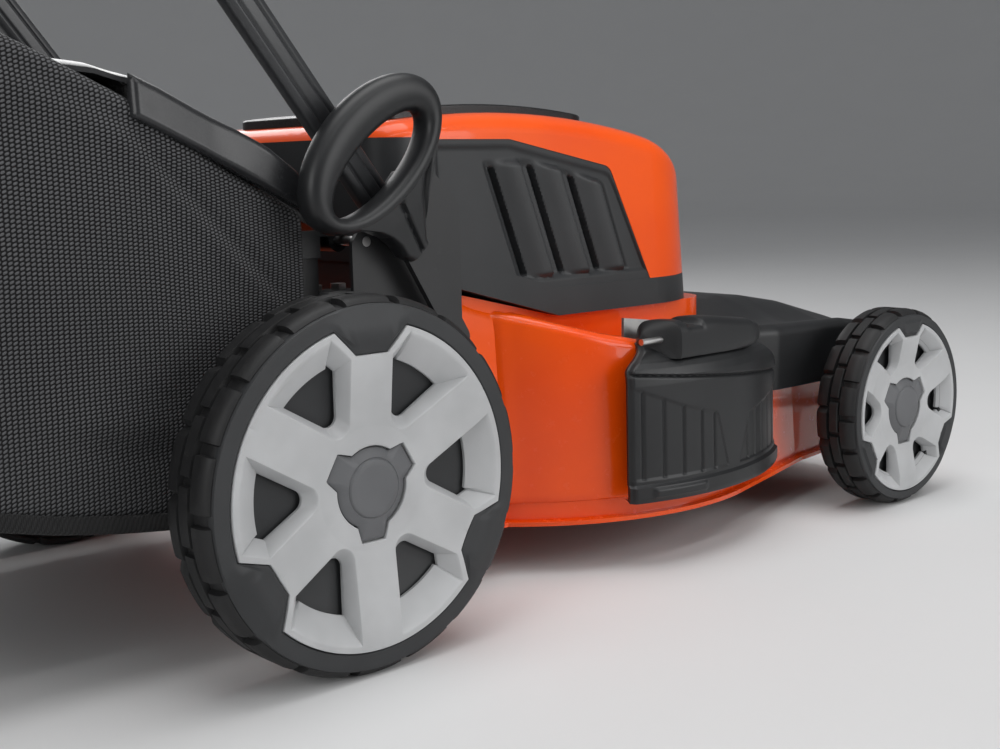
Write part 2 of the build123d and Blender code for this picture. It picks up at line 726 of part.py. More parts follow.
with BuildPart() as cutting_blade:
    with BuildSketch(Plane.XY.offset(BLADE_Z)) as plan:
        with Locations((BLADE_X, 0)):
            Rectangle(2 * BLADE_R, BLADE_W)
        fillet(plan.vertices(), radius=BLADE_W / 5)
        with Locations((BLADE_X, 0)):
            Circle(BLADE_BOLT_R, mode=Mode.SUBTRACT)
    extrude(amount=BLADE_T)
    for side in (1, -1):
        tip = BLADE_X + side * (BLADE_R - BLADE_WING / 2 - BLADE_W / 5)
        edge = side * BLADE_W / 2
        with BuildSketch(Plane((tip, 0, 0), x_dir=(0, 1, 0), z_dir=(1, 0, 0))):
            Polygon(
                (edge, BLADE_Z + BLADE_T / 2),
                (edge - side * 2 * BLADE_T, BLADE_Z + BLADE_T / 2),
                (edge - side * BLADE_T, BLADE_Z + BLADE_T + BLADE_WING_RISE),
                (edge, BLADE_Z + BLADE_T + BLADE_WING_RISE),
                align=None,
            )
        extrude(amount=BLADE_WING / 2, both=True)
save(cutting_blade.part, "cutting_blade")

with BuildPart() as blade_bolt:
    with BuildSketch(Plane.XY.offset(BLADE_Z - BLADE_BOLT_HEAD_H)):
        with Locations((BLADE_X, 0)):
            RegularPolygon(BLADE_BOLT_HEAD_R, 6)
    extrude(amount=BLADE_BOLT_HEAD_H)
    with BuildSketch(Plane.XY.offset(BLADE_Z)):
        with Locations((BLADE_X, 0)):
            Circle(BLADE_BOLT_R)
    extrude(amount=BLADE_T + ADAPTOR_H)
save(blade_bolt.part, "blade_bolt")

# Side discharge flap, on the mower's right
def flap_ring(inner, outer, z, height):
    """Part of a ring round the blade axis that the flap's angle covers on the right."""
    reach = 2 * outer
    swing = reach * tan(radians(FLAP_HALF_ANGLE))
    with BuildPart() as ring:
        with BuildSketch(Plane.XY.offset(z)):
            with Locations((BLADE_X, 0)):
                Circle(outer)
                Circle(inner, mode=Mode.SUBTRACT)
            Polygon(
                (BLADE_X, 0),
                (BLADE_X - swing, -reach),
                (BLADE_X + swing, -reach),
                align=None,
                mode=Mode.INTERSECT,
            )
        extrude(amount=height)
    return ring.part


# Front axle cover, fitted over the front of the deck
def cover_form(inset):
    """Solid bounded by the front cover's skin, drawn in by inset."""
    profile = (
        (COVER_REAR_X + inset, COVER_LOW_Z),
        (COVER_REAR_X + inset, COVER_REAR_Z - inset),
        (COVER_CREST_X, COVER_CREST_Z - inset),
        (COVER_FRONT_X - inset, COVER_NOSE_Z - inset),
        (COVER_FRONT_X - inset, COVER_LOW_Z),
    )
    half = COVER_HALF - inset
    flat = COVER_TOP_HALF - inset
    with BuildPart() as form:
        with BuildSketch(Plane.YZ.offset(COVER_REAR_X)) as section:
            Polygon(
                (-half, COVER_LOW_Z),
                (-half, COVER_SHOULDER_Z - inset),
                (-flat, COVER_CREST_Z - inset),
                (flat, COVER_CREST_Z - inset),
                (half, COVER_SHOULDER_Z - inset),
                (half, COVER_LOW_Z),
                align=None,
            )
            bends = section.vertices().filter_by(lambda v: v.Y > COVER_LOW_Z + 1)
            fillet(bends, radius=CORNER_R - inset)
        extrude(amount=COVER_FRONT_X - COVER_REAR_X)
        add(side_prism(profile, COVER_HALF), mode=Mode.INTERSECT)
        if inset == 0.0:
            ends = form.faces().sort_by(Axis.X)
            fillet(ends[-1].edges().sort_by(Axis.Z)[-1], radius=CORNER_R)
    return form.part


with BuildPart() as front_axle_cover:
    add(cover_form(0.0))
    add(cover_form(COVER_WALL), mode=Mode.SUBTRACT)
    add(deck_form(-GAP), mode=Mode.SUBTRACT)
    add(flap_ring(DECK_R - COVER_FLAP_CLEAR, 2 * DECK_R, 0.0, HOOD_TOP_Z), mode=Mode.SUBTRACT)
cover_pieces = front_axle_cover.part.solids().sort_by(SortBy.VOLUME)
front_cover = Part(cover_pieces[-1].wrapped)
save(front_cover, "front_axle_cover")


flap_in = DECK_R + FLAP_CLEAR
flap_out = flap_in + FLAP_WALL
hinge_gap = FLAP_EAR_AT + FLAP_EAR_T / 2 + GAP


def along_x(points, x0, x1):
    """Solid from x0 to x1 whose end view is the polygon of (y, z) points."""
    with BuildPart() as bar:
        with BuildSketch(Plane.YZ.offset(x0)):
            Polygon(*points, align=None)
        extrude(amount=x1 - x0)
    return bar.part


def pin_bar(radius, x0, x1):
    """Round bar along the flap's hinge axis."""
    with BuildPart() as bar:
        with BuildSketch(Plane.YZ.offset(x0)):
            with Locations((-FLAP_PIN_Y, FLAP_PIN_Z)):
                Circle(radius)
        extrude(amount=x1 - x0)
    return bar.part


with BuildPart() as side_flap:
    add(flap_ring(flap_in, flap_out, FLAP_LOW_Z, FLAP_TOP_Z - FLAP_LOW_Z))
    add(flap_ring(flap_in - FLAP_WALL, flap_out, FLAP_TOP_Z - FLAP_WALL, FLAP_WALL))
    add(flap_ring(flap_out - FLAP_WALL, flap_out + FLAP_WALL, FLAP_LOW_Z, FLAP_WALL))
    for i in range(FLAP_RIB_COUNT):
        angle = radians(-90 + FLAP_HALF_ANGLE * (2 * (i + 1) / (FLAP_RIB_COUNT + 1) - 1))
        rib_x = BLADE_X + flap_out * cos(angle)
        rib_y = flap_out * sin(angle)
        with BuildSketch(Plane((rib_x, rib_y, FLAP_LOW_Z), x_dir=(cos(angle), sin(angle), 0))):
            Rectangle(2 * FLAP_RIB, FLAP_RIB)
        extrude(amount=FLAP_RIB_SHARE * (FLAP_TOP_Z - FLAP_LOW_Z))
    for x0, x1 in ((-FLAP_HINGE_HALF, -hinge_gap), (hinge_gap, FLAP_HINGE_HALF)):
        web = (
            (-flap_out, FLAP_TOP_Z - FLAP_WALL),
            (-flap_out, FLAP_PIN_Z - FLAP_BARREL_R),
            (-FLAP_PIN_Y - FLAP_BARREL_R, FLAP_PIN_Z),
            (-FLAP_PIN_Y, FLAP_PIN_Z),
            (-FLAP_PIN_Y - FLAP_WALL / 2, FLAP_TOP_Z - FLAP_WALL),
        )
        add(along_x(web, BLADE_X + x0, BLADE_X + x1))
        add(pin_bar(FLAP_BARREL_R, BLADE_X + x0, BLADE_X + x1))
        add(pin_bar(FLAP_PIN_R + RUN, BLADE_X + x0, BLADE_X + x1), mode=Mode.SUBTRACT)
save(side_flap.part, "side_flap")

pin_end = FLAP_HINGE_HALF + FLAP_WALL
save(pin_bar(FLAP_PIN_R, BLADE_X - pin_end, BLADE_X + pin_end), "flap_hinge_pin")

plate_half = FLAP_EAR_AT + FLAP_EAR_T + BOLT_HEAD
with BuildPart() as flap_hinge_bracket:
    with BuildSketch(Plane.XY.offset(BOWL_TOP_Z)):
        with Locations((BLADE_X, -(HINGE_PLATE_OUT + HINGE_PLATE_IN) / 2)):
            Rectangle(2 * plate_half, HINGE_PLATE_OUT - HINGE_PLATE_IN)
        with Locations(*HINGE_BOLTS):
            Circle(BOLT_R, mode=Mode.SUBTRACT)
    extrude(amount=HINGE_PLATE_T)
    for side in (1, -1):
        ear_x = BLADE_X + side * FLAP_EAR_AT
        with BuildSketch(Plane.YZ.offset(ear_x)):
            with Locations((-FLAP_PIN_Y, FLAP_PIN_Z)):
                Circle(FLAP_BARREL_R - GAP)
            with Locations((-HINGE_PLATE_IN - BOLT_HEAD, BOWL_TOP_Z + HINGE_PLATE_T + HINGE_PLATE_T / 2)):
                Circle(HINGE_PLATE_T)
            make_hull()
            with Locations((-FLAP_PIN_Y, FLAP_PIN_Z)):
                Circle(FLAP_PIN_R, mode=Mode.SUBTRACT)
        extrude(amount=FLAP_EAR_T / 2, both=True)
save(flap_hinge_bracket.part, "flap_hinge_bracket")

# Torsion spring on the hinge pin: half turns in tilted planes, which meet smoothly
spring_start = BLADE_X - SPRING_TURNS * SPRING_PITCH / 2
spring_points = []
for i in range(2 * SPRING_TURNS + 1):
    lift = -SPRING_COIL_R if i % 2 == 0 else SPRING_COIL_R
    spring_points.append(Vector(spring_start + i * SPRING_PITCH / 2, -FLAP_PIN_Y, FLAP_PIN_Z + lift))
with BuildPart() as flap_spring:
    with BuildLine() as coil:
        leg = Vector(0, 2 * SPRING_WIRE_R, 0)
        Line(spring_points[0] + leg, spring_points[0])
        for i, (start, end) in enumerate(zip(spring_points, spring_points[1:])):
            bulge = (end - start).length / 2 * (-1 if i % 2 == 0 else 1)
            ThreePointArc(start, (start + end) / 2 + Vector(0, bulge, 0), end)
        Line(spring_points[-1], spring_points[-1] - leg)
    with BuildSketch(Plane(origin=coil.wire() @ 0, z_dir=coil.wire() % 0)):
        Circle(SPRING_WIRE_R)
    sweep()
coil_wire = coil.wire()
count = SPRING_STEPS * SPRING_TURNS
trail = [coil_wire @ (k / count) for k in range(count + 1)]
far = range(SPRING_STEPS // 2, count)
least = min((trail[i] - trail[i + k]).length for k in far for i in range(count - k))
print("spring's least gap to itself, mm:", round(least - 2 * SPRING_WIRE_R, 2))
save(flap_spring.part, "flap_spring")

# Wheels: local Z points out of the mower, with 0 at the hubcap's face
WHEELS = (
    ("rear_right", REAR_X, REAR_TYRE_R, REAR_TYRE_W, REAR_HUBCAP_R, LUG_COUNT_REAR, -1),
    ("rear_left", REAR_X, REAR_TYRE_R, REAR_TYRE_W, REAR_HUBCAP_R, LUG_COUNT_REAR, 1),
    ("front_right", FRONT_X, FRONT_TYRE_R, FRONT_TYRE_W, FRONT_HUBCAP_R, LUG_COUNT_FRONT, -1),
    ("front_left", FRONT_X, FRONT_TYRE_R, FRONT_TYRE_W, FRONT_HUBCAP_R, LUG_COUNT_FRONT, 1),
)


def turned(plane, points):
    """Solid of revolution about the wheel's axle of the (radius, depth) polygon, starting in a spoke."""
    turn = radians(180 / SPOKE_COUNT)
    out = plane.x_dir * cos(turn) + plane.y_dir * sin(turn)
    with BuildPart() as solid:
        with BuildSketch(Plane(plane.origin, x_dir=out, z_dir=out.cross(plane.z_dir))):
            Polygon(*points, align=None)
        revolve(axis=Axis(plane.origin, plane.z_dir))
    return solid.part


def bearing_seats(width):
    """Inner and outer ends of the two bearings along the axle."""
    back = -TYRE_INSET - width
    front = -DISC_BACK + DISC_T
    return ((back, back + BEARING_W), (front - BEARING_W, front))


for name, x, radius, width, cap_r, lugs, side in WHEELS:
    plane = Plane((x, side * TRACK_HALF, radius), x_dir=(1, 0, 0), z_dir=(0, side, 0))
    band = radius - TREAD_DEPTH
    back = -TYRE_INSET - width
    seats = bearing_seats(width)
    crown = radius - LUG_H

    with BuildPart() as tyre:
        add(
            turned(
                plane,
                (
                    (band, -TYRE_INSET),
                    (crown - TYRE_SHOULDER, -TYRE_INSET),
                    (crown, -TYRE_INSET - TYRE_SHOULDER),
                    (crown, back + TYRE_SHOULDER),
                    (crown - TYRE_SHOULDER, back),
                    (band, back),
                ),
            )
        )
        pitch = 360 / lugs
        block = radians(pitch) * radius * LUG_SHARE
        row_w = (width - TYRE_SHOULDER) / 2
        for row in (0, 1):
            depth = -TYRE_INSET - TYRE_SHOULDER / 2 - row_w * (row + 1 / 2)
            with BuildSketch(plane.offset(depth)):
                with PolarLocations(crown, lugs, start_angle=90 + row * pitch / 2):
                    Rectangle(2 * LUG_H, block)
                Circle(radius, mode=Mode.INTERSECT)
            extrude(amount=row_w / 2, both=True)
    save(tyre.part, "tyre_" + name)

    with BuildPart() as core:
        ledge = cap_r - WINDOW_RIM
        add(
            turned(
                plane,
                (
                    (AXLE_R + 1, back),
                    (HUB_R, back),
                    (HUB_R, -DISC_BACK - DISC_T),
                    (ledge, -DISC_BACK - DISC_T),
                    (band - DISC_T, back + DISC_T),
                    (band, back + DISC_T),
                    (band, -TYRE_INSET),
                    (cap_r, -TYRE_INSET),
                    (cap_r, -HUBCAP_T),
                    (ledge, -HUBCAP_T - DISC_T),
                    (ledge, -DISC_BACK),
                    (HUB_R, -DISC_BACK),
                    (HUB_R, -DISC_BACK + DISC_T),
                    (AXLE_R + 1, -DISC_BACK + DISC_T),
                ),
            )
        )
        for low, high in seats:
            with BuildSketch(plane.offset(low)):
                Circle(BEARING_R)
            extrude(amount=high - low, mode=Mode.SUBTRACT)
        with BuildSketch(plane.offset(-HUBCAP_T)):
            with PolarLocations(cap_r - TAB_DEEP / 2 + 1, TAB_COUNT, start_angle=90):
                Rectangle(TAB_DEEP + 2, TAB_W)
            Circle(band, mode=Mode.INTERSECT)
        extrude(amount=HUBCAP_T - TAB_INSET)
    save(core.part, "wheel_" + name)

    with BuildPart() as hubcap:
        skin = (
            (0.0, -HUBCAP_DISH),
            (WINDOW_IN_R, -HUBCAP_DISH),
            (cap_r - WINDOW_RIM, 0.0),
            (cap_r - GAP, 0.0),
            (cap_r - GAP, -HUBCAP_T),
            (cap_r - WINDOW_RIM, -HUBCAP_T),
            (WINDOW_IN_R, -HUBCAP_DISH - HUBCAP_T),
            (0.0, -HUBCAP_DISH - HUBCAP_T),
        )
        add(turned(plane, skin))
        rim = cap_r - WINDOW_RIM - WINDOW_ROUND
        spread = radians(180 / SPOKE_COUNT)
        sill = WINDOW_IN_R + WINDOW_ROUND
        foot = sill * tan(spread) - SPOKE_W / 2 / cos(spread)
        head = rim * cos(spread / 2) * tan(spread) - SPOKE_W / 2 / cos(spread)
        for i in range(SPOKE_COUNT):
            turn = Location((0, 0, 0), (0, 0, 360 / SPOKE_COUNT * i))
            with BuildSketch(plane.offset(-2 * DISC_BACK)) as window:
                with Locations(turn):
                    Polygon(
                        (sill, -foot),
                        (rim * cos(spread / 2), -head),
                        (rim, 0),
                        (rim * cos(spread / 2), head),
                        (sill, foot),
                        align=None,
                    )
                fillet(window.vertices(), radius=WINDOW_ROUND)
            extrude(amount=3 * DISC_BACK, mode=Mode.SUBTRACT)
        with BuildSketch(plane.offset(-2 * HUBCAP_T)):
            with PolarLocations(cap_r - TAB_DEEP / 2 + 1, TAB_COUNT, start_angle=90):
                Rectangle(TAB_DEEP + 2 + 2 * GAP, TAB_W + 2 * GAP)
        extrude(amount=3 * HUBCAP_T, mode=Mode.SUBTRACT)
    save(hubcap.part, "hubcap_" + name)

    with BuildPart() as cap:
        with BuildSketch(plane.offset(-HUBCAP_DISH)) as lobes:
            Circle(CAP_CORE_R)
            with PolarLocations(CAP_LOBE_AT, TAB_COUNT, start_angle=CAP_LOBE_START):
                Circle(CAP_LOBE_R)
        extrude(amount=CAP_T)
        with BuildSketch(plane.offset(CAP_T - HUBCAP_DISH)):
            Circle(CAP_BOSS_R)
        extrude(amount=CAP_T / 2)
    save(cap.part, "centre_cap_" + name)

    with BuildPart() as bearings:
        for low, high in seats:
            with BuildSketch(plane.offset(low)):
                Circle(BEARING_R)
                Circle(AXLE_R + RUN, mode=Mode.SUBTRACT)
            extrude(amount=high - low)
    save(bearings.part, "bearings_" + name)


# Axle cranks: a cross shaft in the deck, a trailing arm at each end and a wheel bolt in each arm
def arm_faces(width):
    """Inner and outer distance of a crank arm from the mower's middle."""
    outer = TRACK_HALF - TYRE_INSET - width - ARM_TYRE_CLEAR
    return outer - ARM_T, outer


def crank(pivot, axle, width):
    """Cross shaft with its two arms, and the link pin on the left arm."""
    inner, outer = arm_faces(width)
    link = (pivot[0], pivot[1] + LINK_PIN_RISE)
    with BuildPart() as body:
        add(cross_rod(*pivot, PIVOT_SHAFT_R, -inner, inner))
        for side in (1, -1):
            with BuildSketch(Plane((0, side * inner, 0), x_dir=(1, 0, 0), z_dir=(0, -1, 0))):
                with Locations(pivot):
                    Circle(ARM_W / 2)
                with Locations(axle):
                    Circle(ARM_W / 2)
                make_hull()
                if side == 1:
                    with Locations(((pivot[0] + link[0]) / 2, (pivot[1] + link[1]) / 2)):
                        SlotOverall(LINK_PIN_RISE + ARM_W * 2 / 3, ARM_W * 2 / 3, rotation=90)
                with Locations(axle):
                    Circle(AXLE_R, mode=Mode.SUBTRACT)
            extrude(amount=-side * ARM_T)
        add(cross_rod(*link, LINK_PIN_R, inner - 2 * LINK_INSET, inner))
    return body.part


def wheel_bolts(axle, width):
    """Shoulder bolts that the two wheels of an axle turn on."""
    inner, outer = arm_faces(width)
    seats = bearing_seats(width)
    hub_in = TRACK_HALF + seats[0][0]
    hub_out = TRACK_HALF + seats[1][1]
    with BuildPart() as bolts:
        add(cross_rod(*axle, AXLE_R, inner, hub_out + SEAT))
        add(cross_rod(*axle, AXLE_R + RUN + DISC_T, outer, hub_in - SEAT))
        add(cross_rod(*axle, BOLT_HEAD_R, hub_out + SEAT, hub_out + SEAT + BOLT_HEAD_T))
        mirror(about=Plane.XZ)
    return bolts.part


rear_axle = (REAR_X, REAR_TYRE_R)
front_axle = (FRONT_X, FRONT_TYRE_R)
save(crank(REAR_PIVOT, rear_axle, REAR_TYRE_W), "rear_axle_crank")
save(crank(FRONT_PIVOT, front_axle, FRONT_TYRE_W), "front_axle_crank")
save(wheel_bolts(rear_axle, REAR_TYRE_W), "rear_wheel_bolts")
save(wheel_bolts(front_axle, FRONT_TYRE_W), "front_wheel_bolts")


def wall_y(x, z):
    """Distance of the deck's side wall from the middle at the rear and front boxes."""
    lean = (z - RIM_Z) * tan(radians(DECK_DRAFT))
    if x < BLADE_X:
        return REAR_BOX_HALF - lean
    corner = deck_half_width(0.0)
    share = (corner["front"][0] - x) / (corner["front"][0] - corner["shoulder"][0])
    return FRONT_BOX_HALF + share * (FRONT_SHOULDER_HALF - FRONT_BOX_HALF) - lean


with BuildPart() as pivot_bushes:
    for pivot in (REAR_PIVOT, FRONT_PIVOT):
        wall = wall_y(*pivot)
        add(cross_rod(*pivot, BUSH_R, wall - BUSH_LENGTH / 2, wall + BUSH_LENGTH / 2))
        face = wall + 2 * DECK_WALL
        add(cross_rod(*pivot, BUSH_FLANGE_R, face, face + BUSH_FLANGE_T))
    mirror(about=Plane.XZ)
    for pivot in (REAR_PIVOT, FRONT_PIVOT):
        add(cross_rod(*pivot, PIVOT_SHAFT_R + RUN, -DECK_R, DECK_R), mode=Mode.SUBTRACT)
save(pivot_bushes.part, "pivot_bushes")

# Link rod on the mower's left, which keeps the two cranks parallel
link_rear = (REAR_PIVOT[0], arm_faces(REAR_TYRE_W)[0] - LINK_INSET, REAR_PIVOT[1] + LINK_PIN_RISE)
link_front = (FRONT_PIVOT[0], arm_faces(FRONT_TYRE_W)[0] - LINK_INSET, FRONT_PIVOT[1] + LINK_PIN_RISE)
link_out = DECK_R + LINK_DECK_CLEAR
link_eye = LINK_PIN_R + LINK_ROD_R


def link_point(x, y):
    """Point of the link rod at x and y, on the straight slope between its two pins."""
    share = (x - link_rear[0]) / (link_front[0] - link_rear[0])
    return (x, y, link_rear[2] + share * (link_front[2] - link_rear[2]))


with BuildPart() as height_link_rod:
    with BuildLine() as route:
        FilletPolyline(
            link_point(link_rear[0] + link_eye - 1, link_rear[1]),
            link_point(REAR_X + REAR_TYRE_R + LINK_BEND_R, link_rear[1]),
            link_point(BLADE_X - DECK_R / 2, link_out),
            link_point(BLADE_X + DECK_R / 4, link_out),
            link_point(FRONT_X - FRONT_TYRE_R - LINK_BEND_R, link_front[1]),
            link_point(link_front[0] - link_eye + 1, link_front[1]),
            radius=LINK_BEND_R,
        )
    with BuildSketch(Plane(origin=route.wire() @ 0, z_dir=route.wire() % 0)):
        Circle(LINK_ROD_R)
    sweep()
    for x, y, z in (link_rear, link_front):
        add(cross_rod(x, z, link_eye, y - LINK_ROD_R, y + LINK_ROD_R))
    for x, y, z in (link_rear, link_front):
        add(cross_rod(x, z, LINK_PIN_R + RUN, y - 2 * LINK_ROD_R, y + 2 * LINK_ROD_R), mode=Mode.SUBTRACT)
save(height_link_rod.part, "height_link_rod")

# Height lever on the right: a bent steel bar and a moulded D grip
bar_out = arm_faces(REAR_TYRE_W)[0]
grip_y = -(bar_out - LEVER_BAR_T / 2)
knee = (REAR_X + LEVER_KNEE[0], LEVER_KNEE[1])
neck = (REAR_X + LEVER_NECK[0], LEVER_NECK[1])
stem_angle = atan2(neck[1] - knee[1], neck[0] - knee[0])
stem_end = (neck[0] + GRIP_T * cos(stem_angle), neck[1] + GRIP_T * sin(stem_angle))


def flat_bar(start, end, width):
    """Face of a round-ended bar from start to end, added to the open sketch."""
    with Locations(((start[0] + end[0]) / 2, (start[1] + end[1]) / 2)):
        turn = degrees(atan2(end[1] - start[1], end[0] - start[0]))
        length = hypot(end[0] - start[0], end[1] - start[1])
        SlotCenterToCenter(length, width, rotation=turn)


with BuildPart() as lever_bar:
    with BuildSketch(Plane((0, grip_y, 0), x_dir=(1, 0, 0), z_dir=(0, -1, 0))):
        flat_bar(REAR_PIVOT, knee, LEVER_BAR_W)
        flat_bar(knee, stem_end, LEVER_BAR_W)
        with Locations(REAR_PIVOT):
            Circle(ARM_W / 2)
            Circle(PIVOT_SHAFT_R, mode=Mode.SUBTRACT)
    extrude(amount=LEVER_BAR_T / 2, both=True)
save(lever_bar.part, "lever_bar")

grip_centre = (REAR_X + GRIP_CENTRE[0], GRIP_CENTRE[1])
along = (cos(radians(GRIP_ANGLE)), sin(radians(GRIP_ANGLE)))
across = (along[1], -along[0])


def grip_point(u, v):
    """Point u along the grip and v from its long axis towards the stem."""
    return (
        grip_centre[0] + u * along[0] + v * across[0],
        grip_centre[1] + u * along[1] + v * across[1],
    )


with BuildPart() as lever_grip:
    with BuildSketch(Plane((0, grip_y, 0), x_dir=(1, 0, 0), z_dir=(0, -1, 0))) as face:
        with Locations(grip_centre):
            Ellipse(GRIP_LONG, GRIP_SHORT, rotation=GRIP_ANGLE)
        side_step = (GRIP_NECK_HALF * sin(stem_angle), -GRIP_NECK_HALF * cos(stem_angle))
        Polygon(
            grip_point(*WEB_TAIL),
            grip_point(*WEB_REAR),
            (neck[0] - side_step[0], neck[1] - side_step[1]),
            (neck[0] + side_step[0], neck[1] + side_step[1]),
            grip_point(*WEB_FRONT),
            grip_point(*WEB_TIP),
            align=None,
        )
        with Locations(grip_point(0, GRIP_HOLE_SHIFT)):
            Ellipse(GRIP_HOLE_LONG, GRIP_HOLE_SHORT, rotation=GRIP_ANGLE, mode=Mode.SUBTRACT)
    extrude(amount=GRIP_T / 2, both=True)
    add(lever_bar.part, mode=Mode.SUBTRACT)
save(lever_grip.part, "lever_grip")

# Handle brackets on the deck and the lower handle
tube_way = (-cos(radians(TUBE_ANGLE)), sin(radians(TUBE_ANGLE)))
tube_y = BRACKET_Y - BRACKET_T / 2 - TUBE_D / 2
bracket_out = BRACKET_Y + BRACKET_T / 2


def tube_point(u):
    """Side view (x, z) of the lower handle's centre line, u along it from its foot bolt."""
    return (TUBE_FOOT_X + u * tube_way[0], TUBE_FOOT_Z + u * tube_way[1])


tube_bolts = (tube_point(0.0), tube_point(TUBE_BOLT_PITCH))
fold = tube_point(TUBE_LENGTH)


def side_plane(y):
    """Plane at y whose local axes are the mower's X and Z."""
    return Plane((0, y, 0), x_dir=(1, 0, 0), z_dir=(0, -1, 0))


def handle_bracket(side):
    """Steel plate with a foot on the deck's top, on the mower's left (1) or right (-1)."""
    with BuildPart() as bracket:
        with BuildSketch(side_plane(side * BRACKET_Y)) as outline:
            Polygon(
                (BRACKET_REAR_X, BRACKET_LOW_Z),
                (BRACKET_FRONT_X, BRACKET_LOW_Z),
                (BRACKET_FRONT_X, BRACKET_TOP_Z - BRACKET_CHAMFER),
                (BRACKET_FRONT_X - BRACKET_CHAMFER, BRACKET_TOP_Z),
                (BRACKET_REAR_X + BRACKET_BACK_CUT, BRACKET_TOP_Z),
                (BRACKET_REAR_X, ROD_Z),
                align=None,
            )
            fillet(outline.vertices(), radius=BRACKET_ROUND)
        extrude(amount=BRACKET_T / 2, both=True)
        foot_front = HOOD_REAR_X - BRACKET_ROUND
        with BuildSketch(Plane.XY.offset(TUNNEL_TOP_Z)):
            with Locations(((BRACKET_REAR_X + foot_front) / 2, side * (FOOT_IN_Y + BRACKET_Y) / 2)):
                Rectangle(foot_front - BRACKET_REAR_X, BRACKET_Y - FOOT_IN_Y)
            with Locations(*FOOT_BOLTS):
                Circle(BOLT_R, mode=Mode.SUBTRACT)
        extrude(amount=FOOT_T)
        add(cross_rod(ROD_X, ROD_Z, ROD_R, -bracket_out, bracket_out), mode=Mode.SUBTRACT)
        for x, z in tube_bolts:
            add(cross_rod(x, z, BOLT_R, -bracket_out, bracket_out), mode=Mode.SUBTRACT)
    return bracket.part


save(handle_bracket(-1), "handle_bracket_right")
save(handle_bracket(1), "handle_bracket_left")

with BuildPart() as lower_handle_tubes:
    start = tube_point(-TUBE_TAIL)
    for side in (1, -1):
        end = Plane((start[0], side * tube_y, start[1]), x_dir=(0, 1, 0), z_dir=(tube_way[0], 0, tube_way[1]))
        with BuildSketch(end):
            SlotOverall(TUBE_W, TUBE_D, rotation=90)
            SlotOverall(TUBE_W - 2 * TUBE_WALL, TUBE_D - 2 * TUBE_WALL, rotation=90, mode=Mode.SUBTRACT)
        extrude(amount=TUBE_TAIL + TUBE_LENGTH + TUBE_HEAD)
    for x, z in tube_bolts:
        add(cross_rod(x, z, BOLT_R, -BRACKET_Y, BRACKET_Y), mode=Mode.SUBTRACT)
    add(cross_rod(*fold, KNOB_SHANK_R + RUN, -BRACKET_Y, BRACKET_Y), mode=Mode.SUBTRACT)
save(lower_handle_tubes.part, "lower_handle_tubes")

# Bolts of the motor, the hinge plate, the bracket feet and the lower handle
tube_in = tube_y - TUBE_D / 2


def upright_bolt(x, y, low, seat):
    """Bolt along Z from the height low, with its head on the height seat."""
    with BuildPart() as bolt:
        with BuildSketch(Plane.XY.offset(low)):
            with Locations((x, y)):
                Circle(BOLT_R)
        extrude(amount=seat - low)
        with BuildSketch(Plane.XY.offset(seat)):
            with Locations((x, y)):
                RegularPolygon(BOLT_HEAD, 6)
        extrude(amount=BOLT_HEAD_H)
    return bolt.part


with BuildPart() as fasteners:
    for i in range(MOTOR_BOLT_COUNT):
        angle = radians(MOTOR_BOLT_START + 360 / MOTOR_BOLT_COUNT * i)
        bolt_x = BLADE_X + MOTOR_BOLT_PCD / 2 * cos(angle)
        bolt_y = MOTOR_BOLT_PCD / 2 * sin(angle)
        add(upright_bolt(bolt_x, bolt_y, PLATFORM_Z - BOLT_HEAD_H, PLATFORM_Z + MOTOR_FLANGE_T))
    for x, y in HINGE_BOLTS:
        add(upright_bolt(x, y, BOWL_TOP_Z - BOLT_HEAD_H, BOWL_TOP_Z + HINGE_PLATE_T))
    for x, y in FOOT_BOLTS:
        add(upright_bolt(x, y, TUNNEL_TOP_Z - BOLT_HEAD_H, TUNNEL_TOP_Z + FOOT_T))
    for x, z in tube_bolts:
        for side in (1, -1):
            add(cross_rod(x, z, BOLT_R, side * tube_in, side * bracket_out))
            add(cross_rod(x, z, BOLT_HEAD, side * (tube_in - BOLT_HEAD_H), side * tube_in))
save(fasteners.part, "fasteners")

# Rear flap, which lies on the bag's top and shuts the tunnel's mouth when the bag is off
slope = atan2(BAG_SLOPE, 1)
mouth_top = BAG_FRONT_TOP_Z + BAG_TOP_T / cos(slope)
flap_lift = (BAG_MOUTH_X - ROD_X) * sin(slope) + (mouth_top - ROD_Z) * cos(slope) + SEAT

save(cross_rod(ROD_X, ROD_Z, ROD_R, -bracket_out, bracket_out), "rear_flap_rod")

with BuildPart() as rear_flap:
    add(cross_rod(ROD_X, ROD_Z, REAR_FLAP_BARREL_R, -REAR_FLAP_HALF, REAR_FLAP_HALF))
    with BuildSketch(Plane((ROD_X, 0, ROD_Z), x_dir=(-cos(slope), 0, sin(slope)), z_dir=(0, 1, 0))):
        with Locations((REAR_FLAP_LENGTH / 2, flap_lift + REAR_FLAP_T / 2)):
            Rectangle(REAR_FLAP_LENGTH, REAR_FLAP_T)
    extrude(amount=REAR_FLAP_HALF, both=True)
    add(cross_rod(ROD_X, ROD_Z, ROD_R + RUN, -REAR_FLAP_HALF, REAR_FLAP_HALF), mode=Mode.SUBTRACT)
save(rear_flap.part, "rear_flap")

# Grass bag
bag_crest_x = BAG_MOUTH_X - BAG_CREST_BACK
bag_rear_x = BAG_MOUTH_X - BAG_LENGTH


def bag_z(x):
    """Height of the bag's sloping top at x."""
    return BAG_FRONT_TOP_Z + (BAG_MOUTH_X - x) * BAG_SLOPE


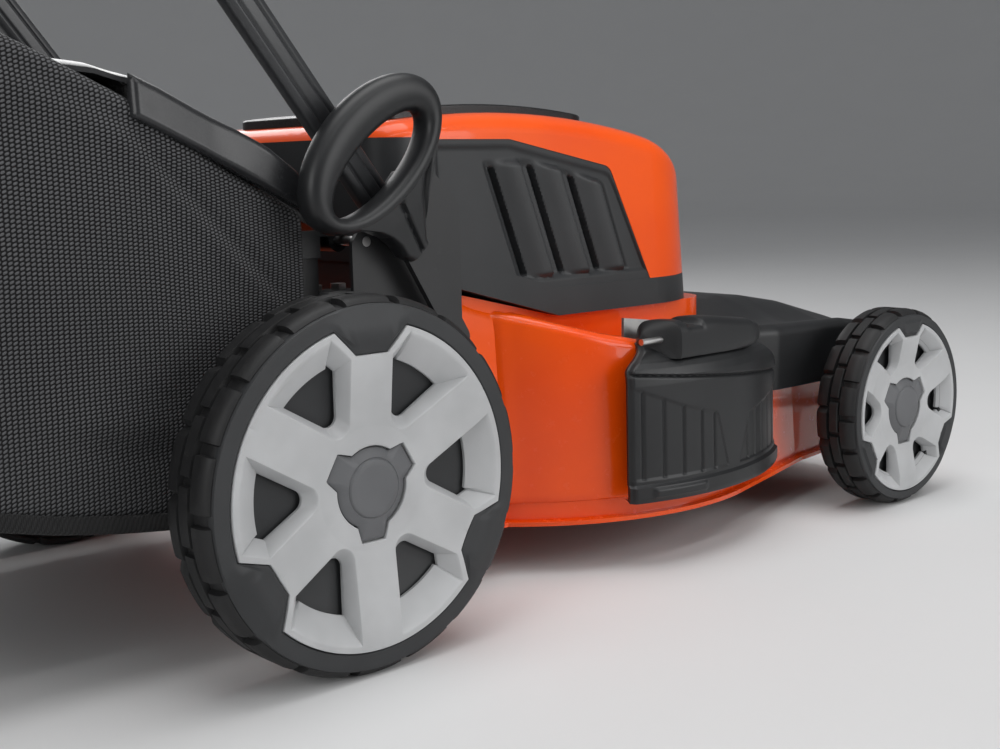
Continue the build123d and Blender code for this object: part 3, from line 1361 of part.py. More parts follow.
def bag_form(inset):
    """Solid with the bag's side view, drawn in by inset on every side."""
    with BuildPart() as form:
        with BuildSketch(Plane.XZ) as outline:
            Polygon(
                (BAG_MOUTH_X, BAG_FRONT_LOW_Z),
                (BAG_MOUTH_X, BAG_FRONT_TOP_Z),
                (bag_crest_x, bag_z(bag_crest_x)),
                (bag_rear_x, BAG_REAR_TOP_Z),
                (bag_rear_x + BAG_REAR_LEAN, BAG_REAR_LOW_Z),
                align=None,
            )
            fillet(outline.vertices().filter_by(lambda v: v.X < BAG_MOUTH_X - BAG_ROUND), radius=BAG_ROUND)
            if inset > 0:
                offset(amount=-inset, mode=Mode.REPLACE)
        extrude(amount=BAG_HALF - inset, both=True)
        if inset == 0:
            fillet(form.faces().filter_by(Axis.Y).edges(), radius=BAG_EDGE)
    return form.part


with BuildPart() as bag_fabric:
    add(bag_form(0.0))
    add(bag_form(BAG_WALL), mode=Mode.SUBTRACT)
    with BuildSketch(Plane.YZ.offset(BAG_MOUTH_X + 1)):
        with Locations((0, (BAG_MOUTH_LOW_Z + BAG_MOUTH_TOP_Z) / 2)):
            Rectangle(2 * BAG_MOUTH_HALF, BAG_MOUTH_TOP_Z - BAG_MOUTH_LOW_Z)
    extrude(amount=-2 * BAG_WALL, mode=Mode.SUBTRACT)
save(bag_fabric.part, "bag_fabric")

skirt_in = BAG_HALF + SEAT
skirt_out = skirt_in + BAG_SKIRT_T
top_rise = BAG_TOP_T / cos(slope)


def on_slope(length, low, high):
    """Side view of a strip on the bag's top, from low to high above it, back to length from the mouth."""
    back = BAG_MOUTH_X - length * cos(slope)
    return (
        (BAG_MOUTH_X, bag_z(BAG_MOUTH_X) + low),
        (BAG_MOUTH_X, bag_z(BAG_MOUTH_X) + high),
        (back, bag_z(back) + high),
        (back, bag_z(back) + low),
    )


grip_x = BAG_MOUTH_X - BAG_GRIP_BACK * cos(slope)
grip_z = bag_z(grip_x) + top_rise / 2
with BuildPart() as bag_top:
    add(side_prism(on_slope(BAG_SKIRT_LENGTH, 0.0, top_rise), skirt_out))
    add(side_prism(on_slope(BAG_TOP_LENGTH, 0.0, top_rise), BAG_TOP_HALF))
    for side in (1, -1):
        with BuildSketch(side_plane(side * (skirt_in + skirt_out) / 2)):
            Polygon(*on_slope(BAG_SKIRT_LENGTH, -BAG_SKIRT_DROP, top_rise), align=None)
        extrude(amount=BAG_SKIRT_T / 2, both=True)
    with BuildLine() as arch:
        ThreePointArc(
            (grip_x, -BAG_GRIP_HALF, grip_z),
            (grip_x, 0, grip_z + BAG_GRIP_RISE),
            (grip_x, BAG_GRIP_HALF, grip_z),
        )
    with BuildSketch(Plane(origin=arch.wire() @ 0, z_dir=arch.wire() % 0)):
        Circle(BAG_GRIP_R)
    sweep()
    add(bag_form(0.0), mode=Mode.SUBTRACT)
save(bag_top.part, "bag_top")

with BuildPart() as bag_mouth_frame:
    frame_half = BAG_MOUTH_HALF + BAG_FRAME_W
    frame_mid = (BAG_MOUTH_LOW_Z + BAG_MOUTH_TOP_Z) / 2
    mouth_h = BAG_MOUTH_TOP_Z - BAG_MOUTH_LOW_Z
    with BuildSketch(Plane.YZ.offset(BAG_MOUTH_X)):
        with Locations((0, frame_mid)):
            Rectangle(2 * frame_half, mouth_h + 2 * BAG_FRAME_W)
            Rectangle(2 * BAG_MOUTH_HALF, mouth_h, mode=Mode.SUBTRACT)
    extrude(amount=DECK_REAR_X - SEAT - BAG_MOUTH_X)
    tongue_low = ROD_Z + ROD_R + SEAT
    frame_top = BAG_MOUTH_TOP_Z + BAG_FRAME_W
    for side in (1, -1):
        with BuildSketch(side_plane(side * BAG_TONGUE_Y)):
            Polygon(
                (BAG_MOUTH_X, frame_top - BAG_FRAME_W),
                (BAG_MOUTH_X, tongue_low + BAG_TONGUE_T),
                (ROD_X + 2 * ROD_R, tongue_low + BAG_TONGUE_T),
                (ROD_X + 2 * ROD_R, tongue_low),
                (DECK_REAR_X - SEAT, tongue_low),
                (DECK_REAR_X - SEAT, frame_top - BAG_FRAME_W),
                align=None,
            )
        extrude(amount=BAG_TONGUE_W / 2, both=True)
save(bag_mouth_frame.part, "bag_mouth_frame")

# Upper handle, which folds forward about the two knobs
upper_y = tube_in - 1 - UPPER_R
bar = (REAR_X - HANDLE_REACH + UPPER_R, HANDLE_HEIGHT - UPPER_R)
bend = tube_point(TUBE_LENGTH + UPPER_STRAIGHT)
tail = tube_point(TUBE_LENGTH - UPPER_TAIL)
reach = hypot(bar[0] - bend[0], bar[1] - bend[1])
run = ((bar[0] - bend[0]) / reach, (bar[1] - bend[1]) / reach)
rise = (run[1], -run[0])


def bar_point(u, v):
    """Side view (x, z) of the point u beyond the crossbar along the arms and v above them."""
    return (bar[0] + u * run[0] + v * rise[0], bar[1] + u * run[1] + v * rise[1])


def bar_plane(y):
    """Plane at y through the crossbar, local X along the arms and local Y above them."""
    return Plane((bar[0], y, bar[1]), x_dir=(run[0], 0, run[1]), z_dir=(0, 1, 0))


bail_pivot = bar_point(-BAIL_ARM, 0.0)

with BuildPart() as upper_handle_tube:
    with BuildLine() as handle_path:
        right = [(x, -upper_y, z) for x, z in (tail, bend, bar)]
        left = [(x, upper_y, z) for x, z in (bar, bend, tail)]
        FilletPolyline(*right, *left, radius=UPPER_CORNER_R)
    with BuildSketch(Plane(origin=handle_path.wire() @ 0, z_dir=handle_path.wire() % 0)):
        Circle(UPPER_R)
        Circle(UPPER_R - UPPER_WALL, mode=Mode.SUBTRACT)
    sweep()
    add(cross_rod(*fold, KNOB_SHANK_R + RUN, -BRACKET_Y, BRACKET_Y), mode=Mode.SUBTRACT)
    add(cross_rod(*bail_pivot, BAIL_PIN_R + RUN, -upper_y, upper_y), mode=Mode.SUBTRACT)
save(upper_handle_tube.part, "upper_handle_tube")

button_at = bar_point(-BUTTON_BACK, PANEL_BOX_TOP)
button_plane = Plane((button_at[0], 0, button_at[1]), x_dir=(0, 1, 0), z_dir=(rise[0], 0, rise[1]))

with BuildPart() as control_panel:
    with BuildSketch(bar_plane(0.0)) as section:
        Polygon(
            (-PANEL_BOX_L, -UPPER_R - PANEL_BOX_WALL),
            (0, -UPPER_R - PANEL_BOX_WALL),
            (UPPER_R, 0),
            (UPPER_R, UPPER_R),
            (0, PANEL_BOX_TOP),
            (-PANEL_BOX_L, PANEL_BOX_TOP),
            align=None,
        )
        fillet(section.vertices(), radius=PANEL_BOX_WALL)
        Circle(UPPER_R, mode=Mode.SUBTRACT)
    extrude(amount=PANEL_BOX_W / 2, both=True)
    with BuildSketch(button_plane):
        Circle(BUTTON_R + GAP)
    extrude(amount=-BUTTON_H, mode=Mode.SUBTRACT)
save(control_panel.part, "control_panel")

with BuildPart() as start_button:
    with BuildSketch(button_plane.offset(BUTTON_TRAVEL + SEAT - BUTTON_H)):
        Circle(BUTTON_R)
    extrude(amount=BUTTON_H)
save(start_button.part, "start_button")

# Bail lever under the crossbar
with BuildPart() as bail:
    with BuildLine() as bail_path:
        low = bar_point(-BAIL_AHEAD, -BAIL_DROP)
        FilletPolyline(
            (bail_pivot[0], -BAIL_Y, bail_pivot[1]),
            (low[0], -BAIL_Y, low[1]),
            (low[0], BAIL_Y, low[1]),
            (bail_pivot[0], BAIL_Y, bail_pivot[1]),
            radius=BAIL_BEND_R,
        )
    with BuildSketch(Plane(origin=bail_path.wire() @ 0, z_dir=bail_path.wire() % 0)):
        Circle(BAIL_R)
    sweep()
    for side in (1, -1):
        boss = BAIL_R + BAIL_BOSS
        add(cross_rod(*bail_pivot, boss, side * (BAIL_Y - boss), side * (BAIL_Y + boss)))
        add(cross_rod(*bail_pivot, BAIL_PIN_R, side * BAIL_Y, side * (upper_y - BAIL_R)))
save(bail.part, "bail")

# Knobs that clamp the fold
for node, side in (("handle_knob_right", -1), ("handle_knob_left", 1)):
    head_out = upper_y - UPPER_R - SEAT
    knob_in = tube_y + TUBE_D / 2 + SEAT
    face = Plane((fold[0], side * knob_in, fold[1]), x_dir=(1, 0, 0), z_dir=(0, side, 0))
    with BuildPart() as knob:
        with BuildSketch(face):
            Circle(KNOB_R - KNOB_HEAD_T)
            with PolarLocations(KNOB_R - KNOB_HEAD_T, KNOB_LOBES):
                Circle(KNOB_HEAD_T)
        extrude(amount=KNOB_T)
        add(cross_rod(*fold, KNOB_SHANK_R, side * head_out, side * (knob_in + KNOB_T / 2)))
        add(cross_rod(*fold, KNOB_HEAD_R, side * (head_out - KNOB_HEAD_T), side * head_out))
    save(knob.part, node)
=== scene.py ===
# %% [markdown]
# # A cordless walk-behind mower, dressed for its portrait
# The solids of the mower are already exact: every hinge, axle and plate sits where it works. This lesson
# gives them their surfaces. Some pieces keep their solid and only get a finish. Others, such as the tyres,
# the wheel trims and the grass bag, are drawn again here as surfaces of two parameters, because their form
# is softer or richer than a solid needs to be. Everything is in metres, in the frame of the solids.

# %% load the frame
import json
import math

import bmesh
import bpy
import numpy as np
from mathutils import Matrix, Vector


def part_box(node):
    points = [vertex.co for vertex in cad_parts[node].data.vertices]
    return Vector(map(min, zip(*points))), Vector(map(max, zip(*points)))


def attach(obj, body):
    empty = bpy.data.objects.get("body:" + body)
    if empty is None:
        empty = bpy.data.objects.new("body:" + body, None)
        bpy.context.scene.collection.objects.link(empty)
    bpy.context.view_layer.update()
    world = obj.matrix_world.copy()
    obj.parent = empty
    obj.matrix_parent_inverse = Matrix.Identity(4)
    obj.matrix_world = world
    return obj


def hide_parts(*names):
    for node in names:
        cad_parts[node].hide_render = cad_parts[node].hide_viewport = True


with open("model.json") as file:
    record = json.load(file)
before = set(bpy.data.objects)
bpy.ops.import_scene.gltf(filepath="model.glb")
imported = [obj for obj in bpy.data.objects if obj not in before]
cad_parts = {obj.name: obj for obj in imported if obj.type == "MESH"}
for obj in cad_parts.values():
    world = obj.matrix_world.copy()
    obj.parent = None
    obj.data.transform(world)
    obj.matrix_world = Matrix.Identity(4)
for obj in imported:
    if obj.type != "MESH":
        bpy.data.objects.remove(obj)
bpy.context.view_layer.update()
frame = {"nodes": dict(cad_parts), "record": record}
nodes = frame["nodes"]
MM = 0.001

# %% [markdown]
# ## Camera
# The camera was solved from the wheels, whose circles turn into known ellipses: low, close to the rear
# right wheel, and looking along the mower. It is placed by three angles: yaw to the left, pitch upwards and
# roll.

# %% camera
CAMERA_AT = Vector((-636.32, -1053.73, 365.97)) * MM
CAMERA_YAW, CAMERA_PITCH, CAMERA_ROLL = 0.8360485, -0.1501015, -0.0211425
SENSOR_MM = 36.0
FOCAL_WIDTHS = 1.3605505

ahead = Vector((
    math.cos(CAMERA_YAW) * math.cos(CAMERA_PITCH),
    math.sin(CAMERA_YAW) * math.cos(CAMERA_PITCH),
    math.sin(CAMERA_PITCH),
))
level = Vector((math.sin(CAMERA_YAW), -math.cos(CAMERA_YAW), 0.0))
upright = level.cross(ahead)
across = level * math.cos(CAMERA_ROLL) + upright * math.sin(CAMERA_ROLL)
above = upright * math.cos(CAMERA_ROLL) - level * math.sin(CAMERA_ROLL)

lens = bpy.data.cameras.new("photo_camera")
lens.sensor_fit = "HORIZONTAL"
lens.sensor_width = SENSOR_MM
lens.lens = SENSOR_MM * FOCAL_WIDTHS
lens.clip_start = 0.01
camera = bpy.data.objects.new("photo_camera", lens)
turn = Matrix((across, above, -ahead)).transposed().to_4x4()
camera.matrix_world = Matrix.Translation(CAMERA_AT) @ turn
bpy.context.collection.objects.link(camera)
bpy.context.scene.camera = camera
bpy.context.scene.view_settings.view_transform = "Standard"
print("camera lens", round(lens.lens, 2), "mm, height", round(CAMERA_AT.z, 3), "m")

# %% [markdown]
# ## Light
# A studio photographer would hang one large soft box overhead and a second one at the side, for the long
# highlights along the deck. A narrow strip draws the bright line on the deck's shoulder, and weaker boxes
# behind lift the outline. A pale floor throws light back from below.

# %% lamps
def soft_box(name, place, target, width, height, power):
    """A rectangular area lamp at place, turned to face target."""
    lamp = bpy.data.lights.new(name, "AREA")
    lamp.shape = "RECTANGLE"
    lamp.size = width
    lamp.size_y = height
    lamp.energy = power
    lamp_object = bpy.data.objects.new(name, lamp)
    facing = (Vector(target) - Vector(place)).to_track_quat("-Z", "Y")
    lamp_object.matrix_world = Matrix.Translation(Vector(place)) @ facing.to_matrix().to_4x4()
    bpy.context.collection.objects.link(lamp_object)
    return lamp_object


MIDDLE = (0.2, 0.0, 0.25)
soft_box("overhead_box", (0.2, -0.3, 2.6), MIDDLE, 2.2, 1.6, 34)
soft_box("side_box", (2.0, -4.2, 1.7), MIDDLE, 2.9, 2.6, 84)
soft_box("strip_box", (0.3, -1.5, 1.9), MIDDLE, 2.6, 0.1, 8)
soft_box("rear_box", (-2.4, -0.9, 1.2), MIDDLE, 1.4, 1.2, 18)
soft_box("far_box", (0.9, 2.6, 1.6), MIDDLE, 2.0, 1.2, 22)

world = bpy.data.worlds.new("studio")
bpy.context.scene.world = world
world.use_nodes = True
world.node_tree.nodes["Background"].inputs["Color"].default_value = (0.82, 0.84, 0.87, 1)
world.node_tree.nodes["Background"].inputs["Strength"].default_value = 0.3

# %% [markdown]
# ## A small language for finishes
# A finish is arithmetic on patterns: a grain, a scratch, a fleck of dust. Writing it as arithmetic keeps it
# readable, so one class stands for a number or colour that flows between nodes, and its operators add the
# nodes. The class that holds the material has one method that makes any other node.

# %% values in a finish
class Flow:
    """A value that flows through a material. Its operators add Math nodes that work on it."""

    def __init__(self, paint, output):
        self.paint = paint
        self.output = output

    def math(self, operation, *values):
        return self.paint.node("ShaderNodeMath", {"operation": operation}, dict(enumerate(values)))

    def __add__(self, other):
        return self.math("ADD", self, other)

    def __sub__(self, other):
        return self.math("SUBTRACT", self, other)

    def __rsub__(self, other):
        return self.math("SUBTRACT", other, self)

    def __mul__(self, other):
        return self.math("MULTIPLY", self, other)

    def __truediv__(self, other):
        return self.math("DIVIDE", self, other)

    def __pow__(self, other):
        return self.math("POWER", self, other)

    __radd__ = __add__
    __rmul__ = __mul__

    def wave(self):
        """The sine of the value."""
        return self.math("SINE", self)

    def whole(self):
        """The whole number at or below the value."""
        return self.math("FLOOR", self)

    def fraction(self):
        """What the value has above its whole number."""
        return self.math("FRACT", self)

    def rise(self, low, high):
        """0 below low, 1 above high, and a smooth step between them."""
        limits = {"Value": self, "From Min": low, "From Max": high}
        return self.paint.node("ShaderNodeMapRange", {"interpolation_type": "SMOOTHSTEP"}, limits)


print("values can be added, multiplied and bent")

# %% [markdown]
# A finish starts from one surface shader. Noise and cell patterns are sampled at the object's own
# coordinates, in metres, so that a grain keeps its size on every piece and moves along with it.

# %% a finish
class Paint:
    """A material being written: the shader's constants are set here, and what varies is joined by name."""

    def __init__(self, name, **constants):
        self.material = bpy.data.materials.new(name)
        self.material.use_nodes = True
        self.tree = self.material.node_tree
        self.shader = self.tree.nodes["Principled BSDF"]
        for socket, value in constants.items():
            self.shader.inputs[socket.replace("_", " ").title().replace("Ior", "IOR")].default_value = value

    def node(self, kind, settings=None, inputs=None, output=0):
        """Makes a node: its settings, then its inputs' values and links. Returns the chosen output."""
        made = self.tree.nodes.new(kind)
        for setting, value in (settings or {}).items():
            setattr(made, setting, value)
        for socket, value in (inputs or {}).items():
            if isinstance(value, Flow):
                self.tree.links.new(value.output, made.inputs[socket])
            else:
                made.inputs[socket].default_value = value
        return Flow(self, made.outputs[output])

    def place(self):
        """The point on the object, in metres."""
        return self.node("ShaderNodeTexCoord", output="Object")

    def uv(self):
        """The piece's own surface coordinates, in metres, as two numbers."""
        both = self.node("ShaderNodeUVMap", {"uv_map": "metres"})
        return tuple(self.node("ShaderNodeSeparateXYZ", None, {"Vector": both}, axis) for axis in "XY")

    def noise(self, scale, detail=3.0, rough=0.55, at=None):
        """Soft random cloud between 0 and 1, with about scale lumps to the metre."""
        inputs = {"Vector": at or self.place(), "Scale": scale, "Detail": detail, "Roughness": rough}
        return self.node("ShaderNodeTexNoise", None, inputs, "Fac")

    def cells(self, scale):
        """Distance to the nearest of many scattered points, about scale to the metre."""
        inputs = {"Vector": self.place(), "Scale": scale}
        return self.node("ShaderNodeTexVoronoi", None, inputs, "Distance")

    def blend(self, amount, first, second):
        """Mixes two colours, each three numbers or a flow."""
        colours = [c if isinstance(c, Flow) else (*c, 1.0) for c in (first, second)]
        return self.node("ShaderNodeMix", {"data_type": "RGBA"}, {0: amount, 6: colours[0], 7: colours[1]}, 2)

    def bump(self, height, strength, distance):
        """Tilts the normal by a height pattern whose full rise is distance, in metres."""
        inputs = {"Height": height, "Strength": strength, "Distance": distance}
        self.join(Normal=self.node("ShaderNodeBump", None, inputs))

    def join(self, **flows):
        """Links flows to the shader's sockets of those names."""
        for socket, flow in flows.items():
            self.tree.links.new(flow.output, self.shader.inputs[socket.replace("_", " ")])
        return self.material


finishes = {}
print("finish language ready")

# %% [markdown]
# ## Painted steel and painted plastic
# The deck is sheet steel in gloss paint over primer. Sprayed paint levels itself into very low waves a few
# millimetres long, known as orange peel, and that is what makes a long highlight shimmer. Dust dulls the
# gloss in soft patches. The hood's cover is moulded plastic painted to match, with a finer peel.

# %% gloss paint
ORANGE = (0.95, 0.1, 0.002)
ORANGE_DEEP = (0.86, 0.075, 0.0015)


def gloss_paint(name, light, deep, roughness, peel):
    """Coated paint: colour drifts between light and deep, and peel is the depth of its waves in metres."""
    paint = Paint(name, coat_roughness=0.04, coat_ior=1.36, specular_ior_level=0.3)
    drift = paint.noise(7.0, 2.0)
    dust = paint.noise(90.0, 5.0, 0.7).rise(0.52, 0.78)
    waves = paint.noise(260.0, 1.0) + 0.25 * paint.noise(1100.0, 1.0)
    speck = paint.cells(420.0).rise(0.05, 0.0) * paint.noise(35.0).rise(0.55, 0.7)
    tone = paint.blend(drift.rise(0.3, 0.7), light, deep)
    paint.join(
        Base_Color=paint.blend(speck * 0.25, tone, (0.9, 0.55, 0.35)),
        Roughness=roughness + 0.05 * dust + 0.03 * drift,
        Coat_Weight=0.6 - 0.2 * dust,
    )
    paint.bump(waves, 0.35, peel)
    return paint.material


finishes["orange_paint"] = gloss_paint("deck_gloss_paint", ORANGE, ORANGE_DEEP, 0.24, 0.00012)
finishes["hood_orange"] = gloss_paint("hood_gloss_paint", ORANGE, ORANGE_DEEP, 0.3, 0.00008)
print("paints:", list(finishes))

# %% [markdown]
# ## Moulded plastics
# A mould is spark-eroded, so a plastic part leaves it with a fine, even grain and a satin shine. Ribs cool
# faster than thick walls, which leaves faint cloudy differences in gloss. The dark grey parts, the black
# parts and the pale trims are the same material with other pigment and other grain.

# %% moulded plastic
def moulded(name, colour, roughness, grain, depth):
    """Grained plastic: grain is lumps to the metre and depth their height in metres."""
    paint = Paint(name, specular_ior_level=0.4)
    cloud = paint.noise(14.0, 3.0)
    pits = paint.cells(grain)
    fine = paint.noise(grain * 2.2, 2.0)
    dust = paint.noise(60.0, 6.0, 0.72).rise(0.56, 0.82)
    pale = tuple(c * 1.22 + 0.002 for c in colour)
    dusty = tuple(c * 0.7 + 0.075 for c in colour)
    tone = paint.blend(cloud.rise(0.25, 0.75), colour, pale)
    paint.join(
        Base_Color=paint.blend(dust * 0.1, tone, dusty),
        Roughness=roughness + 0.04 * cloud + 0.1 * dust + 0.06 * fine,
    )
    paint.bump(pits * 0.7 + fine * 0.5, 0.55, depth)
    return paint.material


finishes["grey_plastic"] = moulded("hood_base_plastic", (0.02, 0.021, 0.0225), 0.4, 900.0, 0.00007)
finishes["black_plastic"] = moulded("cover_plastic", (0.0105, 0.011, 0.012), 0.34, 1000.0, 0.00006)
finishes["lid_black"] = moulded("lid_plastic", (0.01, 0.01, 0.011), 0.22, 1400.0, 0.00003)
finishes["wheel_grey"] = moulded("wheel_core_plastic", (0.024, 0.025, 0.0265), 0.48, 800.0, 0.00008)
finishes["hubcap_grey"] = moulded("wheel_trim_plastic", (0.41, 0.415, 0.42), 0.38, 1200.0, 0.00004)
finishes["cap_grey"] = moulded("centre_cap_plastic", (0.105, 0.107, 0.112), 0.45, 1000.0, 0.00005)
finishes["button_red"] = moulded("button_plastic", (0.42, 0.02, 0.012), 0.32, 1200.0, 0.00004)
print("plastics:", [name for name in finishes if "plastic" in finishes[name].name])

# %% [markdown]
# ## Metals and powder coat
# Zinc plate has a pale, slightly mottled shine. The handle tubes and brackets are powder coated: fine
# pimples, satin, and a worn edge of grey here and there. The motor housing is cast alloy, blasted to an
# even grain.

# %% metals
def bare_metal(name, colour, roughness, grain, streak):
    """Bare or plated metal: cloudy mottle, and streak stretches the scratches along the object's length."""
    paint = Paint(name, metallic=1.0)
    inputs = {"Vector": paint.place(), "Scale": (1.0, streak, streak)}
    stretched = paint.node("ShaderNodeMapping", None, inputs)
    scratch = paint.noise(grain, 4.0, 0.7, stretched)
    mottle = paint.cells(120.0)
    dark = tuple(c * 0.72 for c in colour)
    paint.join(
        Base_Color=paint.blend(mottle * 0.5 + scratch * 0.4, colour, dark),
        Roughness=roughness + 0.18 * scratch,
    )
    paint.bump(scratch, 0.25, 0.00005)
    return paint.material


def powder_coat(name, colour, roughness):
    """Baked powder paint on steel: pimpled, satin, with rubbed patches that are paler and smoother."""
    paint = Paint(name, specular_ior_level=0.5)
    pimples = paint.noise(700.0, 2.0)
    cloud = paint.noise(18.0, 3.0)
    rubbed = paint.noise(45.0, 5.0, 0.7).rise(0.6, 0.8)
    pale = tuple(c * 1.8 + 0.02 for c in colour)
    tone = paint.blend(cloud, colour, tuple(c * 1.25 for c in colour))
    paint.join(
        Base_Color=paint.blend(rubbed * 0.35, tone, pale),
        Roughness=roughness + 0.08 * cloud - 0.08 * rubbed,
    )
    paint.bump(pimples, 0.4, 0.00008)
    return paint.material


finishes["zinc_steel"] = bare_metal("zinc_plate", (0.66, 0.65, 0.64), 0.24, 160.0, 6.0)
finishes["motor_alloy"] = bare_metal("cast_alloy", (0.42, 0.42, 0.43), 0.42, 500.0, 1.0)
finishes["black_steel"] = powder_coat("black_powder_coat", (0.014, 0.014, 0.015), 0.38)
finishes["handle_paint"] = powder_coat("handle_powder_coat", (0.026, 0.027, 0.029), 0.3)
print("metals and coats:", [m.name for m in list(finishes.values())[-4:]])

# %% [markdown]
# ## Tyre rubber
# Hard tread rubber is nearly black, dull and a little dusty. Its moulded face carries a fine matt texture,
# and dust stays in it as a pale bloom.

# %% rubber
def tread_rubber():
    """Matt black with a pale bloom of dust and a fine moulded texture."""
    rubber = Paint("tread_rubber", specular_ior_level=0.4)
    cloud = rubber.noise(22.0, 4.0, 0.6)
    bloom = rubber.noise(130.0, 6.0, 0.75).rise(0.48, 0.8)
    fine = rubber.noise(1500.0, 2.0)
    dark = rubber.blend(cloud, (0.0065, 0.0065, 0.007), (0.012, 0.012, 0.0125))
    rubber.join(
        Base_Color=rubber.blend(bloom * 0.22, dark, (0.045, 0.044, 0.042)),
        Roughness=0.5 + 0.2 * bloom + 0.08 * fine,
    )
    rubber.bump(fine + rubber.cells(620.0) * 0.6, 0.5, 0.0001)
    return rubber.material


finishes["tyre_rubber"] = tread_rubber()
print("rubber ready")

# %% [markdown]
# ## Surfaces of two parameters
# A soft or curved piece is drawn as a grid of points: one parameter runs along the rows, the other along
# the columns, and neighbouring points make four-sided faces. Several grids that share their edges are
# joined into one closed skin. Lengths are written in millimetres and scaled when the skin is made.

# %% surface helpers
def ease(x):
    """Smooth step: three times the square of x less twice its cube, with x held between 0 and 1."""
    x = np.clip(x, 0.0, 1.0)
    return x * x * (3.0 - 2.0 * x)


def band(x, low, high, edge):
    """1 between low and high, easing to 0 over the width edge at each end."""
    return ease((x - low) / edge + 0.5) * ease((high - x) / edge + 0.5)


def resample(line, count):
    """A polyline of corners as count points, evenly spaced along its length."""
    line = np.asarray(line, float)
    length = np.concatenate([[0.0], np.cumsum(np.linalg.norm(np.diff(line, axis=0), axis=1))])
    at = np.linspace(0.0, length[-1], count)
    return np.stack([np.interp(at, length, line[:, k]) for k in range(line.shape[1])], -1)


def grid_faces(rows, columns):
    """Four-sided faces of a grid: each point with its next along the row, along the column and along both."""
    i, j = np.meshgrid(np.arange(rows - 1), np.arange(columns - 1), indexing="ij")
    corner = i * columns + j
    return np.stack([corner, corner + columns, corner + columns + 1, corner + 1], -1).reshape(-1, 4)


def skin(name, grids, body, slot, stands_for=(), sharp=38.0, uvs=None):
    """Joins grids, in millimetres, into one piece that rides on body and wears the finish of slot."""
    starts = np.cumsum([0] + [g.shape[0] * g.shape[1] for g in grids])
    points = np.concatenate([g.reshape(-1, 3) for g in grids]) * MM
    faces = np.concatenate([start + grid_faces(*g.shape[:2]) for start, g in zip(starts, grids)])
    mesh = bpy.data.meshes.new(name)
    mesh.from_pydata(points.tolist(), [], faces.tolist())
    if uvs is not None:
        marks = np.concatenate([u.reshape(-1, 2) for u in uvs])
        mesh.uv_layers.new(name="metres").data.foreach_set("uv", (marks[faces.ravel()] * MM).ravel())
    work = bmesh.new()
    work.from_mesh(mesh)
    bmesh.ops.remove_doubles(work, verts=work.verts, dist=2e-6)
    bmesh.ops.recalc_face_normals(work, faces=work.faces)
    work.to_mesh(mesh)
    work.free()
    mesh.shade_smooth()
    mesh.set_sharp_from_angle(angle=math.radians(sharp))
    mesh.materials.append(finishes[slot])
    made = bpy.data.objects.new(name, mesh)
    bpy.context.collection.objects.link(made)
    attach(made, body)
    if stands_for:
        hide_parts(*stands_for)
    print(name, "faces", len(mesh.polygons))
    return made


print("surface helpers ready")

# %% [markdown]
# ## The wheels
# Each wheel is four mouldings: a black tread, a dark core with a flat ring that shows round the trim, a
# pale trim and a three-lobed cap in its middle. The trim has six spokes with parallel sides. Its six
# windows are pockets: their walls slope in to a smaller opening with the dark core behind it. Three
# trapezoid tabs of the ring reach into notches of the trim. The plain boss on the cap is left bare.

# %% wheel sizes
class Wheel:
    """Sizes of one pair of wheels, in millimetres, and the way from wheel coordinates to the frame."""

    FACE = 285.0
    SPOKES = 6
    TABS = (90.0, 210.0, 330.0)
    LUGS = 18

    def __init__(self, end, tread_r, tread_w, trim_r, notch, window, opening, pocket):
        self.end = end
        self.tread_r = tread_r
        self.tread_w = tread_w
        self.trim_r = trim_r
        self.notch_r, self.notch_in, self.notch_out = notch
        self.window = window
        self.opening = opening
        self.pocket = pocket
        low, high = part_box("tyre_" + end + "_right")
        self.x = (low.x + high.x) / 2 / MM
        self.z = (low.z + high.z) / 2 / MM

    def edge(self, angle):
        """Radius of the trim's edge: the circle, or at each tab the notch's floor and sloping sides."""
        off = np.radians((angle - self.TABS[0] + 60.0) % 120.0 - 60.0)
        floor = self.notch_r / np.cos(off)
        top = math.sqrt(self.trim_r**2 - self.notch_out**2)
        rise, run = top - self.notch_r, self.notch_out - self.notch_in
        side = (self.notch_r * run - self.notch_in * rise) / (np.cos(off) * run - np.sin(np.abs(off)) * rise)
        side = np.where(side > 0.0, side, 2.0 * self.trim_r)
        return np.minimum(self.trim_r, np.maximum(floor, side))

    def turns(self, fine):
        """Angles of a full turn, with a sample on every corner of the notches."""
        inner = math.degrees(math.atan2(self.notch_in, self.notch_r))
        outer = math.degrees(math.asin(self.notch_out / self.trim_r))
        corners = np.array([-outer, -inner, inner, outer])
        start, end = 30.0, 390.0
        stops = [tab + corners for tab in self.TABS] + [[start, end], [self.TABS[0] + 360.0]]
        stops = np.sort(np.concatenate(stops))
        stops = stops[(stops >= start) & (stops <= end)]
        spans = zip(stops[:-1], stops[1:])
        parts = [np.linspace(a, b, max(2, int((b - a) / fine) + 1))[:-1] for a, b in spans]
        return np.concatenate(parts + [[end]])

    def place(self, radius, angle, out, side):
        """Frame point at a radius, an angle from ahead towards up, and a distance from the mower's middle."""
        turn = np.radians(angle)
        x, z = self.x + radius * np.cos(turn), self.z + radius * np.sin(turn)
        return np.stack([x, side * out + 0.0 * turn, z], -1)


rear = Wheel("rear", 140.0, 56.0, 120.0, (98.0, 14.0, 32.0), (18.0, 116.0, 11.0), (24.0, 95.0, 8.0), 14.0)
front = Wheel("front", 105.0, 48.0, 90.0, (76.0, 11.0, 23.0), (16.0, 86.5, 13.0), (20.5, 73.0, 9.0), 12.0)
SIDES = {"right": -1.0, "left": 1.0}
WHEELS = [(wheel, hand) for wheel in (rear, front) for hand in SIDES]
for wheel in (rear, front):
    print(wheel.end, "wheels at", round(wheel.x, 1), round(wheel.z, 1))

